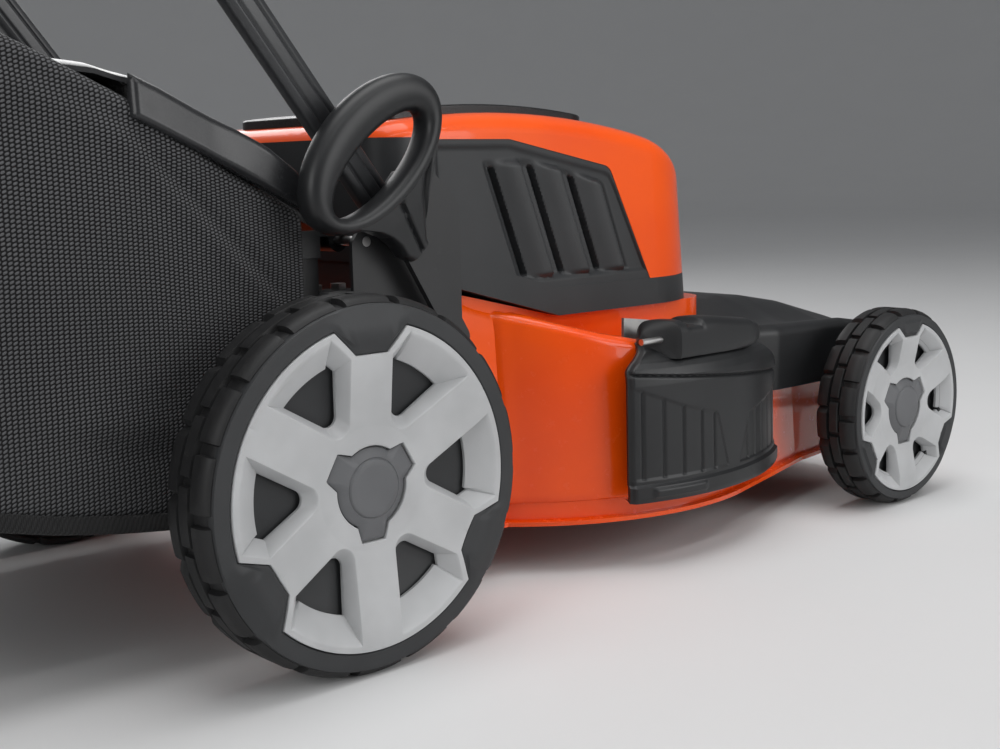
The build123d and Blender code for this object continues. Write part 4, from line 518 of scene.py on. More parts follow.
# %% [markdown]
# ### Tread
# The tread is a profile carried round the axle: inner edge, shoulder, crown, far shoulder and back through
# the bore. Blocks stand on it in three rows, staggered like bricks. Their pitch is about 49 mm on the large
# wheels. A row of the shoulder's table is the height over the tread, the place across it and the share of
# the groove depth.

# %% tread
LUG_HEIGHT = 4.6
SHOULDER = np.array([
    (-14.0, 6.0, 0.0), (-9.0, 4.0, 0.0), (-7.4, 1.6, 0.5), (-5.4, 1.2, 1.0),
    (-3.2, 2.4, 1.0), (-1.2, 5.6, 1.0), (-0.3, 9.0, 1.0),
])
LUG_STOPS = np.array([
    0.0, 0.03, 0.06, 0.075, 0.1, 0.18, 0.26, 0.34, 0.4, 0.425, 0.44, 0.47,
    0.5, 0.53, 0.56, 0.575, 0.6, 0.66, 0.74, 0.82, 0.9, 0.925, 0.94, 0.97,
])


def tread(wheel, hand):
    """Tread skin: radius is the profile less the groove depth wherever no block stands."""
    side = SIDES[hand]
    near = wheel.FACE - 2.0
    crown = np.linspace(12.0, wheel.tread_w - 12.0, 29)
    crown = np.stack([0.0 * crown, crown, 1.0 + 0.0 * crown], -1)
    far = SHOULDER[::-1] * (1.0, -1.0, 1.0) + (0.0, wheel.tread_w, 0.0)
    profile = np.concatenate([SHOULDER, crown, far, SHOULDER[:1]])
    phase = np.concatenate([k + LUG_STOPS for k in range(wheel.LUGS)] + [[wheel.LUGS]])
    across, phase = np.meshgrid(profile[:, 1] / wheel.tread_w, phase, indexing="ij")
    gap = band((phase + 0.5) % 1.0, 0.41, 0.59, 0.03)
    gap_middle = band(phase % 1.0, 0.435, 0.565, 0.03)
    gap_far = band((phase + 0.75) % 1.0, 0.435, 0.565, 0.06)
    ends = band(across, -0.2, 0.35, 0.012) * (1.0 - gap)
    middle = band(across, 0.39, 0.61, 0.012) * (1.0 - gap_middle)
    other = band(across, 0.65, 1.2, 0.012) * (1.0 - gap_far)
    block = np.maximum(np.maximum(ends, other), middle)
    radius = wheel.tread_r + profile[:, :1] - LUG_HEIGHT * profile[:, 2:] * (1.0 - block)
    points = wheel.place(radius, phase * 360.0 / wheel.LUGS, near - across * wheel.tread_w, side)
    name = wheel.end + "_" + hand
    return skin("tread_" + name, [points], "wheel_" + name, "tyre_rubber", ["tyre_" + name], 30.0)


for wheel, hand in WHEELS:
    tread(wheel, hand)

# %% [markdown]
# ### Core and ring
# Behind the trim is the dark core: a disc, a barrel that carries the tread, and a hub on the axle bolt. Its
# ring lies in the face of the wheel, and its inner edge follows the trim's notches, so the tabs are part of
# it. A low pad with sloping edges stands on each tab.

# %% core and ring
BORE_R = 12.0


def core(wheel, hand):
    """Core skin, turned: disc and barrel, then the ring, whose inner edge keeps a fine gap to the trim."""
    side = SIDES[hand]
    turns = wheel.turns(2.0)
    barrel = wheel.tread_r - 14.0
    depth = wheel.tread_w + 1.0
    lathe = np.array([
        (BORE_R, 21.0), (34.0, 21.0), (36.0, 19.0), (wheel.opening[1] + 3.0, 19.0), (barrel - 15.0, 9.0),
        (barrel, 9.0), (barrel, depth), (barrel - 5.0, depth), (barrel - 9.0, 30.0), (30.0, 27.0),
        (22.0, depth), (BORE_R, depth), (BORE_R, 21.0),
    ])
    body = wheel.place(lathe[:, :1], turns[None, :], wheel.FACE - lathe[:, 1:], side)
    inner = wheel.edge(turns) + 0.8
    outer = wheel.tread_r - 6.0
    mix = np.array([0.0, 0.0, 0.0, 0.06, 0.12, 0.2, 0.62, 0.72, 0.94, 1.0, 1.0, 0.0])[:, None]
    drop = np.array([9.0, 3.0, 1.6, 0.9, 0.9, 0.9, 0.9, 0.9, 1.1, 2.6, 9.0, 9.0])[:, None]
    pad = np.array([0.0, 0.0, 0.0, 0.0, 0.0, 1.0, 1.0, 0.0, 0.0, 0.0, 0.0, 0.0])[:, None]
    drop = drop - 2.0 * pad * ease((wheel.trim_r - 4.0 - inner) / 6.0)
    ring = wheel.place(inner + (outer - inner) * mix, turns[None, :] + 0.0 * mix, wheel.FACE - drop, side)
    name = wheel.end + "_" + hand
    return skin("core_" + name, [body, ring], "wheel_" + name, "wheel_grey", ["wheel_" + name])


for wheel, hand in WHEELS:
    core(wheel, hand)

# %% [markdown]
# ### Trim
# One sixth of the trim is drawn between two spoke centre lines. Three outlines with matching corners go
# round it: the sector's edge, the window's lip and the smaller opening. Straight lines between matching
# points make the face, the sloping pocket wall and the back. Mirrored and turned copies fill the circle,
# and a turned middle closes it.

# %% outlines of the trim
COUNTS = (25, 15, 5, 7, 25, 19)
HUB_R, DISH, SEAT = 45.0, 6.0, 13.0
CAP_R, LOBE_R, LOBE_HALF, LOBE_SLANT = 30.0, 39.0, 10.5, 76.0


def polar(radius, degrees):
    """Points of the sector's plane from a radius and an angle, x along the window's middle."""
    turn = np.radians(degrees)
    return np.stack(np.broadcast_arrays(radius * np.cos(turn), radius * np.sin(turn)), -1)


def beside(reach, away):
    """Point at reach along the spoke on the tab's side and away from its centre line, towards the window."""
    cos, sin = math.cos(math.radians(30.0)), math.sin(math.radians(30.0))
    return np.array([reach * cos + away * sin, reach * sin - away * cos])


def joined(runs):
    """One closed outline from runs of corners, each resampled to its share of COUNTS."""
    lines = [resample(run, count + 1)[:-1] for run, count in zip(runs, COUNTS)]
    return np.concatenate(lines + [lines[0][:1]])


def window_outline(away, outer_r, apex_r, bend_r, corner):
    """Window outline: a round apex, a side along each spoke, a bend beside the tab and an outer arc."""
    tip = away / math.sin(math.radians(30.0)) + 2.0 * apex_r
    apex = polar(apex_r, np.linspace(240.0, 120.0, 31)) + (tip, 0.0)
    start_far = math.degrees(math.asin(away / outer_r)) - 30.0
    start_near = math.degrees(math.atan2(*beside(*corner)[::-1]))
    knee = beside(bend_r, away)
    early = apex[-1] + (knee - apex[-1]) * 0.8
    arc = np.linspace(start_near, start_far, 41)
    reach = np.linspace(np.hypot(*beside(*corner)), outer_r, 41)
    rim = polar(np.minimum(outer_r, reach + 0.3 * (outer_r - reach)), arc)
    rim[0] = beside(*corner)
    return joined([apex, [apex[-1], early], [early, knee], [knee, rim[0]], rim, [rim[-1], apex[0]]])


def cap_edge(angle):
    """Radius of the cap's outline: a circle, and on three spokes a lobe with a flat end and slanted sides."""
    off = np.radians((angle - 30.0 + 60.0) % 120.0 - 60.0)
    end = LOBE_R / np.cos(off)
    slant = math.radians(LOBE_SLANT)
    side = LOBE_HALF * math.sin(slant) + LOBE_R * math.cos(slant)
    flank = side / np.maximum(np.sin(np.abs(off)) * math.sin(slant) + np.cos(off) * math.cos(slant), 1e-3)
    lobe = np.minimum(end, flank)
    return np.maximum(CAP_R, np.minimum(lobe, 41.0))


print("points on an outline:", sum(COUNTS) + 1)

# %% [markdown]
# A trim is one moulding. Its face is a shallow dish that is deepest at the hub, and its window pockets slope
# to the depth given with the wheel's sizes. The edges that lie open, along the rim and the notches, are
# rounded over.

# %% trim
def trim(wheel, hand):
    """Trim skin: six sectors, each with face, pocket, back and edge, and the middle that holds the cap."""
    side = SIDES[hand]
    top = math.sqrt(wheel.trim_r**2 - wheel.notch_out**2)
    rim_start = 30.0 - math.degrees(math.asin(wheel.notch_out / wheel.trim_r))
    edge = joined([
        polar(HUB_R, np.linspace(-30.0, 30.0, 61)),
        [beside(HUB_R, 0.0), beside(wheel.notch_r, 0.0)],
        [beside(wheel.notch_r, 0.0), beside(wheel.notch_r, wheel.notch_in)],
        [beside(wheel.notch_r, wheel.notch_in), beside(top, wheel.notch_out)],
        polar(wheel.trim_r, np.linspace(rim_start, -30.0, 61)),
        [polar(wheel.trim_r, -30.0), polar(HUB_R, -30.0)],
    ])
    lip = window_outline(*wheel.window, wheel.notch_r - 1.5, (top - 3.2, wheel.notch_out + 3.6))
    low_bend = wheel.notch_r - 0.09 * wheel.trim_r
    hole = window_outline(*wheel.opening, low_bend, (low_bend + 6.0, wheel.opening[0] + 7.5))
    stops = np.cumsum(COUNTS)
    hub_edge, rim_span = edge[:COUNTS[0] + 1], slice(stops[1], stops[4] + 1)
    open_edge = np.zeros(len(edge))
    open_edge[rim_span] = 1.0

    def face(flat):
        """How far the trim's face lies inside the wheel's face: a shallow dish, flat near the rim."""
        reach = np.hypot(flat[..., 0], flat[..., 1])
        return DISH * (1.0 - np.clip((reach - 46.0) / (wheel.trim_r - 61.0), 0.0, 1.0))

    out = np.array([0.0, 0.05, 0.12, 0.3, 0.5, 0.7, 0.86, 0.95, 1.0])[:, None, None]
    upper = edge + (lip - edge) * out
    upper_w = face(upper) + open_edge * 1.1 * (1.0 - np.clip(out[..., 0] / 0.12, 0.0, 1.0)) ** 2
    down = np.array([0.04, 0.1, 0.2, 0.35, 0.5, 0.65, 0.8, 0.92, 1.0])[:, None, None]
    fall = np.where(down < 0.12, down**2 / 0.24, down - 0.06) / 0.94
    wall = lip + (hole - lip) * down
    wall_w = face(lip) + (wheel.pocket - face(lip)) * fall[..., 0]
    under = np.array([0.0, 0.5, 1.0])[:, None, None]
    back = hole + (edge - hole) * under
    back_edge = 11.0 - 5.0 * open_edge
    back_w = (wheel.pocket + 2.5) * (1.0 - under[..., 0]) + back_edge * under[..., 0]
    sector = np.concatenate([upper, wall, back])
    sector_w = np.concatenate([upper_w, wall_w, back_w])
    rim = np.stack([edge[rim_span]] * 2)
    rim_w = np.stack([upper_w[0, rim_span], back_edge[rim_span]])

    grids = []
    for k in range(wheel.SPOKES):
        flip = 1.0 if k % 2 else -1.0
        middle = 60.0 * k
        local = np.degrees(np.arctan2(hub_edge[:, 1], hub_edge[:, 0]))
        pocket_r = cap_edge(flip * local + middle) + 1.0
        rows = [
            (HUB_R + 0.0 * local, DISH), (pocket_r + 0.6, DISH), (pocket_r, DISH + 0.5),
            (pocket_r, SEAT), (0.0 * local, SEAT),
        ]
        seat = np.stack([polar(r, local) for r, _ in rows])
        seat_w = np.stack([w + 0.0 * local for _, w in rows])
        rear_seat = np.stack([hub_edge, 0.0 * hub_edge])
        rear_w = np.stack([11.0 + 0.0 * local, 15.0 + 0.0 * local])
        for flat, depth in ((sector, sector_w), (rim, rim_w), (seat, seat_w), (rear_seat, rear_w)):
            radius = np.hypot(flat[..., 0], flat[..., 1])
            angle = np.degrees(np.arctan2(flat[..., 1], flat[..., 0])) * flip + middle
            grids.append(wheel.place(radius, angle, wheel.FACE - depth, side))
    name = wheel.end + "_" + hand
    return skin("trim_" + name, grids, "wheel_" + name, "hubcap_grey", ["hubcap_" + name], 28.0)


for wheel, hand in WHEELS:
    trim(wheel, hand)

# %% [markdown]
# ### Centre caps
# The cap is a dome over the lobed outline. A round boss stands in its middle with a fine groove round it,
# and each lobe falls away from the boss as a flat facet with bevelled sides.

# %% caps
def cap(wheel, hand):
    """Cap skin: rows shrink from the lobed outline to the middle, and rise towards the boss."""
    side = SIDES[hand]
    turns = np.linspace(0.0, 360.0, 241)
    edge = cap_edge(turns)
    shrink = np.concatenate([[1.0, 1.0, 0.985, 0.95], np.linspace(0.9, 0.62, 9)])[:, None]
    boss = np.array([22.6, 22.0, 21.6, 20.9, 20.0, 16.0, 10.0, 5.0, 0.0])[:, None]
    radius = np.concatenate([np.maximum(edge * shrink, 22.8), boss + 0.0 * edge])
    slope = 1.0 - np.clip((radius - 22.0) / (edge - 22.0), 0.0, 1.0)
    height = 0.6 + 4.4 * slope**0.9
    height[0] = -6.0
    height[1] = -0.6
    height[-9:] = np.array([4.6, 4.3, 4.9, 5.9, 6.3, 6.5, 6.6, 6.65, 6.7])[:, None]
    points = wheel.place(radius, turns + 0.0 * radius, wheel.FACE - 9.0 + height, side)
    level = np.zeros((2, len(turns)))
    base = wheel.place(np.stack([edge, 0.0 * edge]), turns + level, wheel.FACE - 15.0 + level, side)
    name = wheel.end + "_" + hand
    return skin("cap_" + name, [points, base], "wheel_" + name, "cap_grey", ["centre_cap_" + name], 26.0)


for wheel, hand in WHEELS:
    cap(wheel, hand)

# %% [markdown]
# ## Bag cloth
# The bag is warp-knitted mesh: yarn ribs a few millimetres apart, each a chain of stitches, with the chains
# shifted by a third of a stitch from rib to rib and every stitch aslant. The pattern is written in the
# bag's own surface coordinates, in metres, so it keeps its size where the bag curves. The rear panel is a
# piece of its own, so its pattern starts afresh. The gaps between the stitches are painted near black:
# painted shade of the dark inside seen through the mesh. Dust greys the yarn in patches.

# %% cloth
def knit(name, yarn, gap, rib, stitch, rough):
    """Knitted mesh: a stitch is the product of two half waves, aslant in its rib and shifted per rib; gap is
    the painted shade of the hollows between stitches.
    """
    cloth = Paint(name, sheen_weight=0.1, sheen_roughness=0.5, specular_ior_level=0.15)
    along, around = cloth.uv()
    column = along / rib
    row = around / stitch - 0.33 * column.whole() - 0.9 * column.fraction()
    across = (math.pi * column.fraction()).wave()
    chain = (math.pi * row.fraction()).wave()
    loop = across**0.6 * chain
    worn = cloth.noise(9.0, 4.0)
    dust = cloth.noise(55.0, 5.0, 0.7).rise(0.5, 0.8)
    thread = cloth.blend(worn, yarn, tuple(c * 1.35 for c in yarn))
    dusted = cloth.blend(dust * 0.2, thread, (0.12, 0.115, 0.11))
    # Where the loop falls between stitches the colour becomes gap: painted shade of the hollows in the knit.
    cloth.join(Base_Color=cloth.blend(loop.rise(0.3, 0.8), gap, dusted), Roughness=rough + 0.15 * worn)
    cloth.bump(loop, 0.8, 0.0009)
    return cloth.material


# The colour after the yarn is the painted shade between the stitches.
finishes["bag_cloth"] = knit("bag_mesh", (0.085, 0.086, 0.09), (0.004, 0.004, 0.0045), 0.0041, 0.0031, 0.62)
finishes["hem_cloth"] = knit("bag_hem_tape", (0.02, 0.02, 0.021), (0.008, 0.008, 0.008), 0.0012, 0.0048, 0.6)
print("cloths:", [finishes[k].name for k in ("bag_cloth", "hem_cloth")])

# %% [markdown]
# ## The grass bag
# The cloth hangs from the hard top and the mouth frame. It is drawn as sections across the mower: each is a
# rounded box whose floor and roof follow the side view, and a panel closes the rear. The cloth is then
# moved along its normal: walls belly out a little, the floor sags, and creases run from the corners where
# it is pulled.

# %% sections and folds
BAG_AT = np.array([-52.5, -110.0, -180.0, -215.0, -258.0, -299.0, -397.0, -470.0, -522.0])
BAG_LOW = np.array([104.0, 111.0, 118.0, 122.5, 130.0, 140.0, 167.0, 187.0, 201.0])
BAG_HIGH = np.array([340.0, 371.0, 416.5, 434.0, 454.0, 473.0, 519.0, 493.0, 466.0])
BAG_HALF = 187.0
REAR_ROUND = 20.0


def box_loop(half, low, high, radius, flat, bend):
    """Rounded box sections: for each row, four sides of flat points and four corners of bend points."""
    arc = np.linspace(0.0, math.pi / 2, bend)
    runs = []
    for across, rise, start in ((1, -1, -math.pi / 2), (1, 1, 0.0), (-1, 1, math.pi / 2), (-1, -1, math.pi)):
        y = across * (half - radius)[:, None] + radius[:, None] * np.cos(start + arc)
        base = np.where(rise > 0, high - radius, low + radius)
        runs.append(np.stack([y, base[:, None] + radius[:, None] * np.sin(start + arc)], -1))
    part = np.linspace(0.0, 1.0, flat)[1:-1, None]
    sides = []
    for here, after in zip(runs, runs[1:] + runs[:1]):
        sides += [here, here[:, -1:] + (after[:, :1] - here[:, -1:]) * part]
    return np.concatenate(sides + [runs[0][:, :1]], axis=1)


def normals_of(points):
    """Unit normals of a grid: the cross product of its two differences, turned away from its middle."""
    along = np.gradient(points, axis=0)
    around = np.gradient(points, axis=1)
    normal = np.cross(along, around)
    normal /= np.maximum(np.linalg.norm(normal, axis=-1, keepdims=True), 1e-9)
    outward = np.sum(normal * (points - points.mean((0, 1))), axis=-1)
    return normal * np.sign(np.median(outward))


def crease(points, start, end, width, depth):
    """A fold along a side-view line: a furrow with a soft ridge beside it, fading at the line's ends."""
    line = np.subtract(end, start)
    length = np.hypot(*line)
    gap = points[..., [0, 2]] - start
    along = gap @ line / length**2
    away = (gap[..., 0] * line[1] - gap[..., 1] * line[0]) / length
    fade = band(along, 0.08, 0.92, 0.3) * ease((np.abs(points[..., 1]) - 120.0) / 60.0)
    ridge = 0.7 * np.exp(-(((away - 1.6 * width) / (1.4 * width)) ** 2))
    return fade * depth * (ridge - np.exp(-((away / width) ** 2)))


print("bag from", BAG_AT[0], "to", BAG_AT[-1], "mm")

# %% [markdown]
# The bag is sewn from one strip for floor, sides and roof and one panel for the rear. So the stitches of the
# strip run along the bag and round it, and those of the panel lie flat across it. Four folds are placed by
# their ends in the side view.

# %% bag shell
FOLDS = (
    ((-200.0, 408.0), (-58.0, 262.0), 6.0, 3.4),
    ((-330.0, 470.0), (-150.0, 385.0), 8.0, 2.2),
    ((-70.0, 150.0), (-260.0, 190.0), 9.0, 2.6),
    ((-480.0, 440.0), (-380.0, 210.0), 9.0, 2.8),
)


def bag_shell():
    """Bag skin as body and rear panel: box sections, then belly, sag and creases along the normal."""
    straight = np.linspace(BAG_AT[0], BAG_AT[-1] + REAR_ROUND, 110)
    bend = np.linspace(0.0, math.pi / 2, 8)[1:]
    x = np.concatenate([straight, straight[-1] - REAR_ROUND * np.sin(bend)])
    tuck = np.concatenate([0.0 * straight, REAR_ROUND * (1.0 - np.cos(bend))])
    low = np.interp(-x, -BAG_AT, BAG_LOW) + tuck
    high = np.interp(-x, -BAG_AT, BAG_HIGH) - tuck
    loop = box_loop(BAG_HALF - tuck, low, high, 15.0 + 0.0 * x, 46, 7)
    shell = np.concatenate([x[:, None, None] + 0.0 * loop[..., :1], loop], -1)
    shrink = np.linspace(1.0, 0.0, 14)[1:, None, None]
    middle = shell[-1].mean(0)
    shell = np.concatenate([shell, middle + (shell[-1] - middle) * shrink])
    step = np.linalg.norm(np.diff(shell, axis=0), axis=-1).mean(1)
    along = np.concatenate([[0.0], np.cumsum(step)])
    ring = np.linalg.norm(np.diff(shell[60], axis=0), axis=-1)
    around = np.concatenate([[0.0], np.cumsum(ring)])
    uv = np.stack(np.meshgrid(along, around, indexing="ij"), -1)
    lengthwise = np.clip((BAG_AT[0] - shell[..., 0]) / 450.0, 0.0, 1.0)
    upward = (shell[..., 2] - np.interp(-shell[..., 0], -BAG_AT, BAG_LOW)) / 330.0
    flank = ease((np.abs(shell[..., 1]) - 150.0) / 40.0)
    belly = 5.0 * flank * np.sin(math.pi * lengthwise) * np.sin(math.pi * np.clip(upward, 0.0, 1.0))
    sag = 9.0 * (1.0 - flank) * ease((0.2 - upward) / 0.2) * np.sin(math.pi * lengthwise)
    waves = np.sin(shell[..., 0] / 31.0 + 2.0 * np.sin(shell[..., 2] / 47.0))
    ripple = 0.9 * waves * np.sin(shell[..., 2] / 38.0 + shell[..., 1] / 90.0)
    folds = sum(crease(shell, *fold) for fold in FOLDS)
    fade = ease((BAG_AT[0] - shell[..., 0]) / 20.0)[..., None]
    shell = shell + normals_of(shell) * fade * (belly + sag + ripple + folds)[..., None]
    rear = len(x) - 1
    return [shell[: rear + 1], shell[rear:]], [uv[: rear + 1], shell[rear:, :, 1:]]


bag_grids, bag_uvs = bag_shell()
bag = skin("bag_cloth_shell", bag_grids, "grass_bag", "bag_cloth", ["bag_fabric"], 60.0, bag_uvs)
thick = bag.modifiers.new("cloth_thickness", "SOLIDIFY")
thick.thickness = 1.2 * MM
thick.offset = -1.0

# %% [markdown]
# ### Hem
# A doubled tape closes the bag along the bottom of each side and across the rear, with one row of
# stitching.

# %% hem
def squared_off(wave, power):
    """A wave raised to a power below 1 with its sign kept, which squares off a round section."""
    return np.sign(wave) * np.abs(wave) ** power


def tape(name, path, width, thickness, body, slot):
    """A flat tape with rounded edges carried along a path of points, standing upright and facing sideways."""
    path = resample(path, 140)
    ahead_of = np.gradient(path, axis=0)
    ahead_of /= np.linalg.norm(ahead_of, axis=1, keepdims=True)
    rise = np.array([0.0, 0.0, 1.0]) - ahead_of * ahead_of[:, 2:]
    rise /= np.linalg.norm(rise, axis=1, keepdims=True)
    out = np.cross(ahead_of, rise)
    turn = np.linspace(0.0, 2.0 * math.pi, 25)
    up = squared_off(np.sin(turn), 0.5) * width / 2
    off = squared_off(np.cos(turn), 0.7) * thickness / 2
    grid = path[:, None] + rise[:, None] * up[None, :, None] + out[:, None] * off[None, :, None]
    capped = np.concatenate([path[:1, None] + 0.0 * grid[:1], grid, path[-1:, None] + 0.0 * grid[:1]])
    length = np.linspace(0.0, np.linalg.norm(np.diff(path, axis=0), axis=1).sum(), len(capped))
    uv = np.stack(np.meshgrid(length, turn / (2.0 * math.pi) * 2.0 * width, indexing="ij"), -1)
    return skin(name, [capped], body, slot, (), 50.0, [uv])


MIRROR = np.array([1.0, -1.0, 1.0])
low_x = np.linspace(-60.0, -500.0, 40)
low_z = np.interp(-low_x, -BAG_AT, BAG_LOW) + 3.0
right_run = np.stack([low_x, -BAG_HALF + 0.0 * low_x - 1.5, low_z], -1)
corner = np.array([(-513.0, 178.0, low_z[-1] + 4.5), (-520.0, 160.0, low_z[-1] + 9.0)])
rear_run = np.concatenate([corner * MIRROR, corner[::-1]])
hem_path = np.concatenate([right_run, rear_run, (right_run * MIRROR)[::-1]])
hem = tape("bag_hem", hem_path, 13.0, 3.2, "grass_bag", "hem_cloth")
cloth_area = np.zeros(len(bag.data.polygons))
bag.data.polygons.foreach_get("area", cloth_area)
print("bag cloth area", round(float(cloth_area.sum()), 3), "square metres")

# %% [markdown]
# ### Hard top
# A black moulding closes the bag's roof. Its glossy flanks fall outside the cloth at the front, its roof is
# lightly crowned, and a carrying grip arches over it. It is drawn as one roof grid, two flank plates and a
# bent bar.

# %% hard top
ROOF_AT = np.array([-54.0, -120.0, -182.0, -206.0, -231.0, -253.0, -300.0, -340.0])
ROOF_Z = np.array([370.0, 404.0, 436.5, 444.0, 446.5, 457.5, 480.0, 497.0])
FLANK_TOP = [
    (-186.0, 436.0), (-163.0, 426.0), (-136.6, 412.6), (-105.0, 398.0),
    (-80.0, 384.5), (-57.5, 368.0), (-47.0, 350.0),
]
FLANK_LOW = [
    (-188.0, 406.0), (-168.6, 397.0), (-134.5, 381.0), (-98.6, 362.0),
    (-75.0, 350.0), (-55.8, 340.0), (-46.0, 334.0),
]


def closed_slab(upper, lower):
    """Two grids of the same shape as one closed slab: the upper one, its edges, and the lower one."""
    edges = [np.stack([upper[k], lower[k]]) for k in (0, -1)]
    edges += [np.stack([upper[:, k], lower[:, k]]) for k in (0, -1)]
    return [upper, lower] + edges


def roof():
    """Roof grid: crowned across, with rounded long edges."""
    along = np.linspace(-52.5, -338.0, 72)
    across = np.sin(np.linspace(-math.pi / 2, math.pi / 2, 41))
    x, across = np.meshgrid(along, across, indexing="ij")
    half = np.interp(-x, [52.5, 180.0, 190.0, 338.0], [186.0, 186.0, 178.0, 150.0])
    z = np.interp(-x, -ROOF_AT, ROOF_Z) + 7.0 * (1.0 - across**2) - 5.0 * np.abs(across) ** 12
    upper = np.stack([x, half * across, z], -1)
    return closed_slab(upper, upper - (0.0, 0.0, 3.5))


def flank(side):
    """Flank plate between an upper and a lower edge; its soft-rimmed face leans in at the rear."""
    top, low = resample(FLANK_TOP, 70), resample(FLANK_LOW, 70)
    across = (1.0 - np.cos(np.linspace(0.0, math.pi, 25))) / 2
    along = np.linspace(0.0, 1.0, 70)
    view = low[:, None] + (top - low)[:, None] * across[None, :, None]
    rim_across = np.minimum(across, 1.0 - across)[None] * 30.0
    rim_along = np.minimum(along, 1.0 - along)[:, None] * 150.0
    rim = np.minimum(rim_across, rim_along)
    lean = 6.0 * across[None] * (1.0 - ease((along - 0.4) / 0.3))[:, None]
    out = 189.0 + 5.0 * np.sqrt(np.clip(rim / 4.0, 0.0, 1.0)) - lean
    face = np.stack([view[..., 0], side * out, view[..., 1]], -1)
    back = face * (1.0, 0.0, 1.0) + (0.0, side * 183.0, 0.0)
    return closed_slab(face, back)


def grip():
    """Carrying grip: a rounded section carried along an arch across the roof."""
    span = np.linspace(-1.0, 1.0, 41)
    arch = 22.0 * (1.0 - np.abs(span) ** 4)
    turn = np.linspace(0.0, 2.0 * math.pi, 21)
    base = np.interp(236.0, -ROOF_AT, ROOF_Z) + 4.0
    x = -236.0 + 12.0 * np.cos(turn)[None] + 0.0 * arch[:, None]
    z = base + arch[:, None] + 5.0 * np.sin(turn)[None]
    return [np.stack([x, 62.0 * span[:, None] + 0.0 * x, z], -1)]


finishes["bag_gloss"] = moulded("bag_top_plastic", (0.018, 0.0185, 0.02), 0.22, 1300.0, 0.00003)
hard_top = roof() + flank(-1.0) + flank(1.0) + grip()
skin("bag_hard_top", hard_top, "grass_bag", "bag_gloss", ["bag_top"], 34.0)

# %% [markdown]
# ## The height lever's grip
# The grip is a thick rounded ring, fuller along its upper limb where the palm lies. A web runs from the
# lower limb to the steel bar and narrows on the way, with two grooves that meet near the bar. The ring is a
# section carried between an outer and an inner ellipse. The web is a slab between two edges.

# %% lever grip
GRIP_Y = -214.0
GRIP_TILT = math.radians(41.0)
WEB_REAR = [
    (-34.0, 323.5), (-24.7, 322.1), (-9.2, 320.1), (3.3, 315.1), (12.6, 307.7), (18.8, 299.0), (27.5, 295.0),
]
WEB_FRONT = [
    (52.0, 390.0), (48.1, 374.2), (44.5, 361.4), (42.8, 348.7), (43.0, 329.4), (45.0, 312.4), (43.5, 309.5),
]


def tilted(centre, long, short, angle):
    """Points of an ellipse in the side view, its long axis turned by the grip's tilt."""
    x, z = long * np.cos(angle), short * np.sin(angle)
    return np.stack([
        centre[0] + x * math.cos(GRIP_TILT) - z * math.sin(GRIP_TILT),
        centre[1] + x * math.sin(GRIP_TILT) + z * math.cos(GRIP_TILT),
    ], -1)


def grip_ring():
    """Ring grid: at each angle a full oval spans from the inner to the outer ellipse."""
    angle = np.linspace(0.0, 2.0 * math.pi, 145)
    turn = np.linspace(0.0, 2.0 * math.pi, 33)
    outer = tilted((-4.5, 379.5), 77.0, 45.0, angle)
    inner = tilted((-1.5, 371.5), 56.0, 20.5, angle)
    spread = squared_off(np.cos(turn), 0.85)
    depth = squared_off(np.sin(turn), 0.85) * 13.2
    view = (outer + inner)[:, None] / 2 + (outer - inner)[:, None] / 2 * spread[None, :, None]
    return np.stack([view[..., 0], GRIP_Y + depth[None] + 0.0 * view[..., 0], view[..., 1]], -1)


def near_line(view, start, end):
    """Distance of side-view points from a line between two points."""
    line = np.subtract(end, start)
    along = np.clip(((view - start) @ line) / (line @ line), 0.0, 1.0)
    return np.linalg.norm(view - (start + along[..., None] * line), axis=-1)


def patch(top, bottom, left, right):
    """Grid between four edges: the sum of the two ruled surfaces less the one between the corners."""
    down = np.linspace(0.0, 1.0, len(left))[:, None, None]
    over = np.linspace(0.0, 1.0, len(top))[None, :, None]
    ruled = (1 - down) * top[None] + down * bottom[None] + (1 - over) * left[:, None] + over * right[:, None]
    shared = (1 - down) * ((1 - over) * top[0] + over * top[-1])
    shared = shared + down * ((1 - over) * bottom[0] + over * bottom[-1])
    return ruled - shared


def grip_web():
    """Web slab from the ring's lower limb to the neck, grooved on both faces, its free edges rounded."""
    limb = tilted((-1.5, 371.5), 61.0, 25.5, np.radians(np.linspace(-158.0, -12.0, 61)))
    left = resample([limb[0]] + WEB_REAR, 80)
    right = resample([limb[-1]] + WEB_FRONT, 80)
    neck = left[-1] + (right[-1] - left[-1]) * np.linspace(0.0, 1.0, 61)[:, None]
    view = patch(limb, neck, left, right)
    half = np.interp(np.linspace(0.0, 1.0, 80), [0.0, 0.4, 1.0], [12.4, 11.5, 9.0])[:, None]
    over = np.linspace(0.0, 1.0, 61)
    rim = np.minimum(over, 1.0 - over)[None] * np.linalg.norm(right - left, axis=1)[:, None]
    half = half * np.sqrt(1.0 - (1.0 - np.clip(rim / 6.0, 0.0, 1.0)) ** 2)
    near_groove = near_line(view, (12.5, 345.7), (35.5, 305.1))
    far_groove = near_line(view, (42.3, 374.0), (38.5, 348.8))
    far_groove = np.minimum(far_groove, near_line(view, (38.5, 348.8), (42.5, 313.0)))
    groove = np.exp(-((near_groove / 1.7) ** 2)) + np.exp(-((far_groove / 2.2) ** 2))
    half = np.maximum(half - 3.4 * groove, 0.0)
    near = np.stack([view[..., 0], GRIP_Y - half, view[..., 1]], -1)
    return closed_slab(near, near * (1.0, 0.0, 1.0) + np.stack([0 * half, GRIP_Y + half, 0 * half], -1))


skin("lever_hand_grip", [grip_ring()] + grip_web(), "rear_axle", "black_plastic", ["lever_grip"], 40.0)

# %% [markdown]
# ## Hood side panels
# The grey part of the hood wraps round both sides and the rear. On each side it carries three louvres:
# leaning slots, each with a wedge that rises to the next slot so that rain runs off. A low frame borders
# them. The panel is a height map over the hood's side, carried round the plan outline, and closed at its
# back.

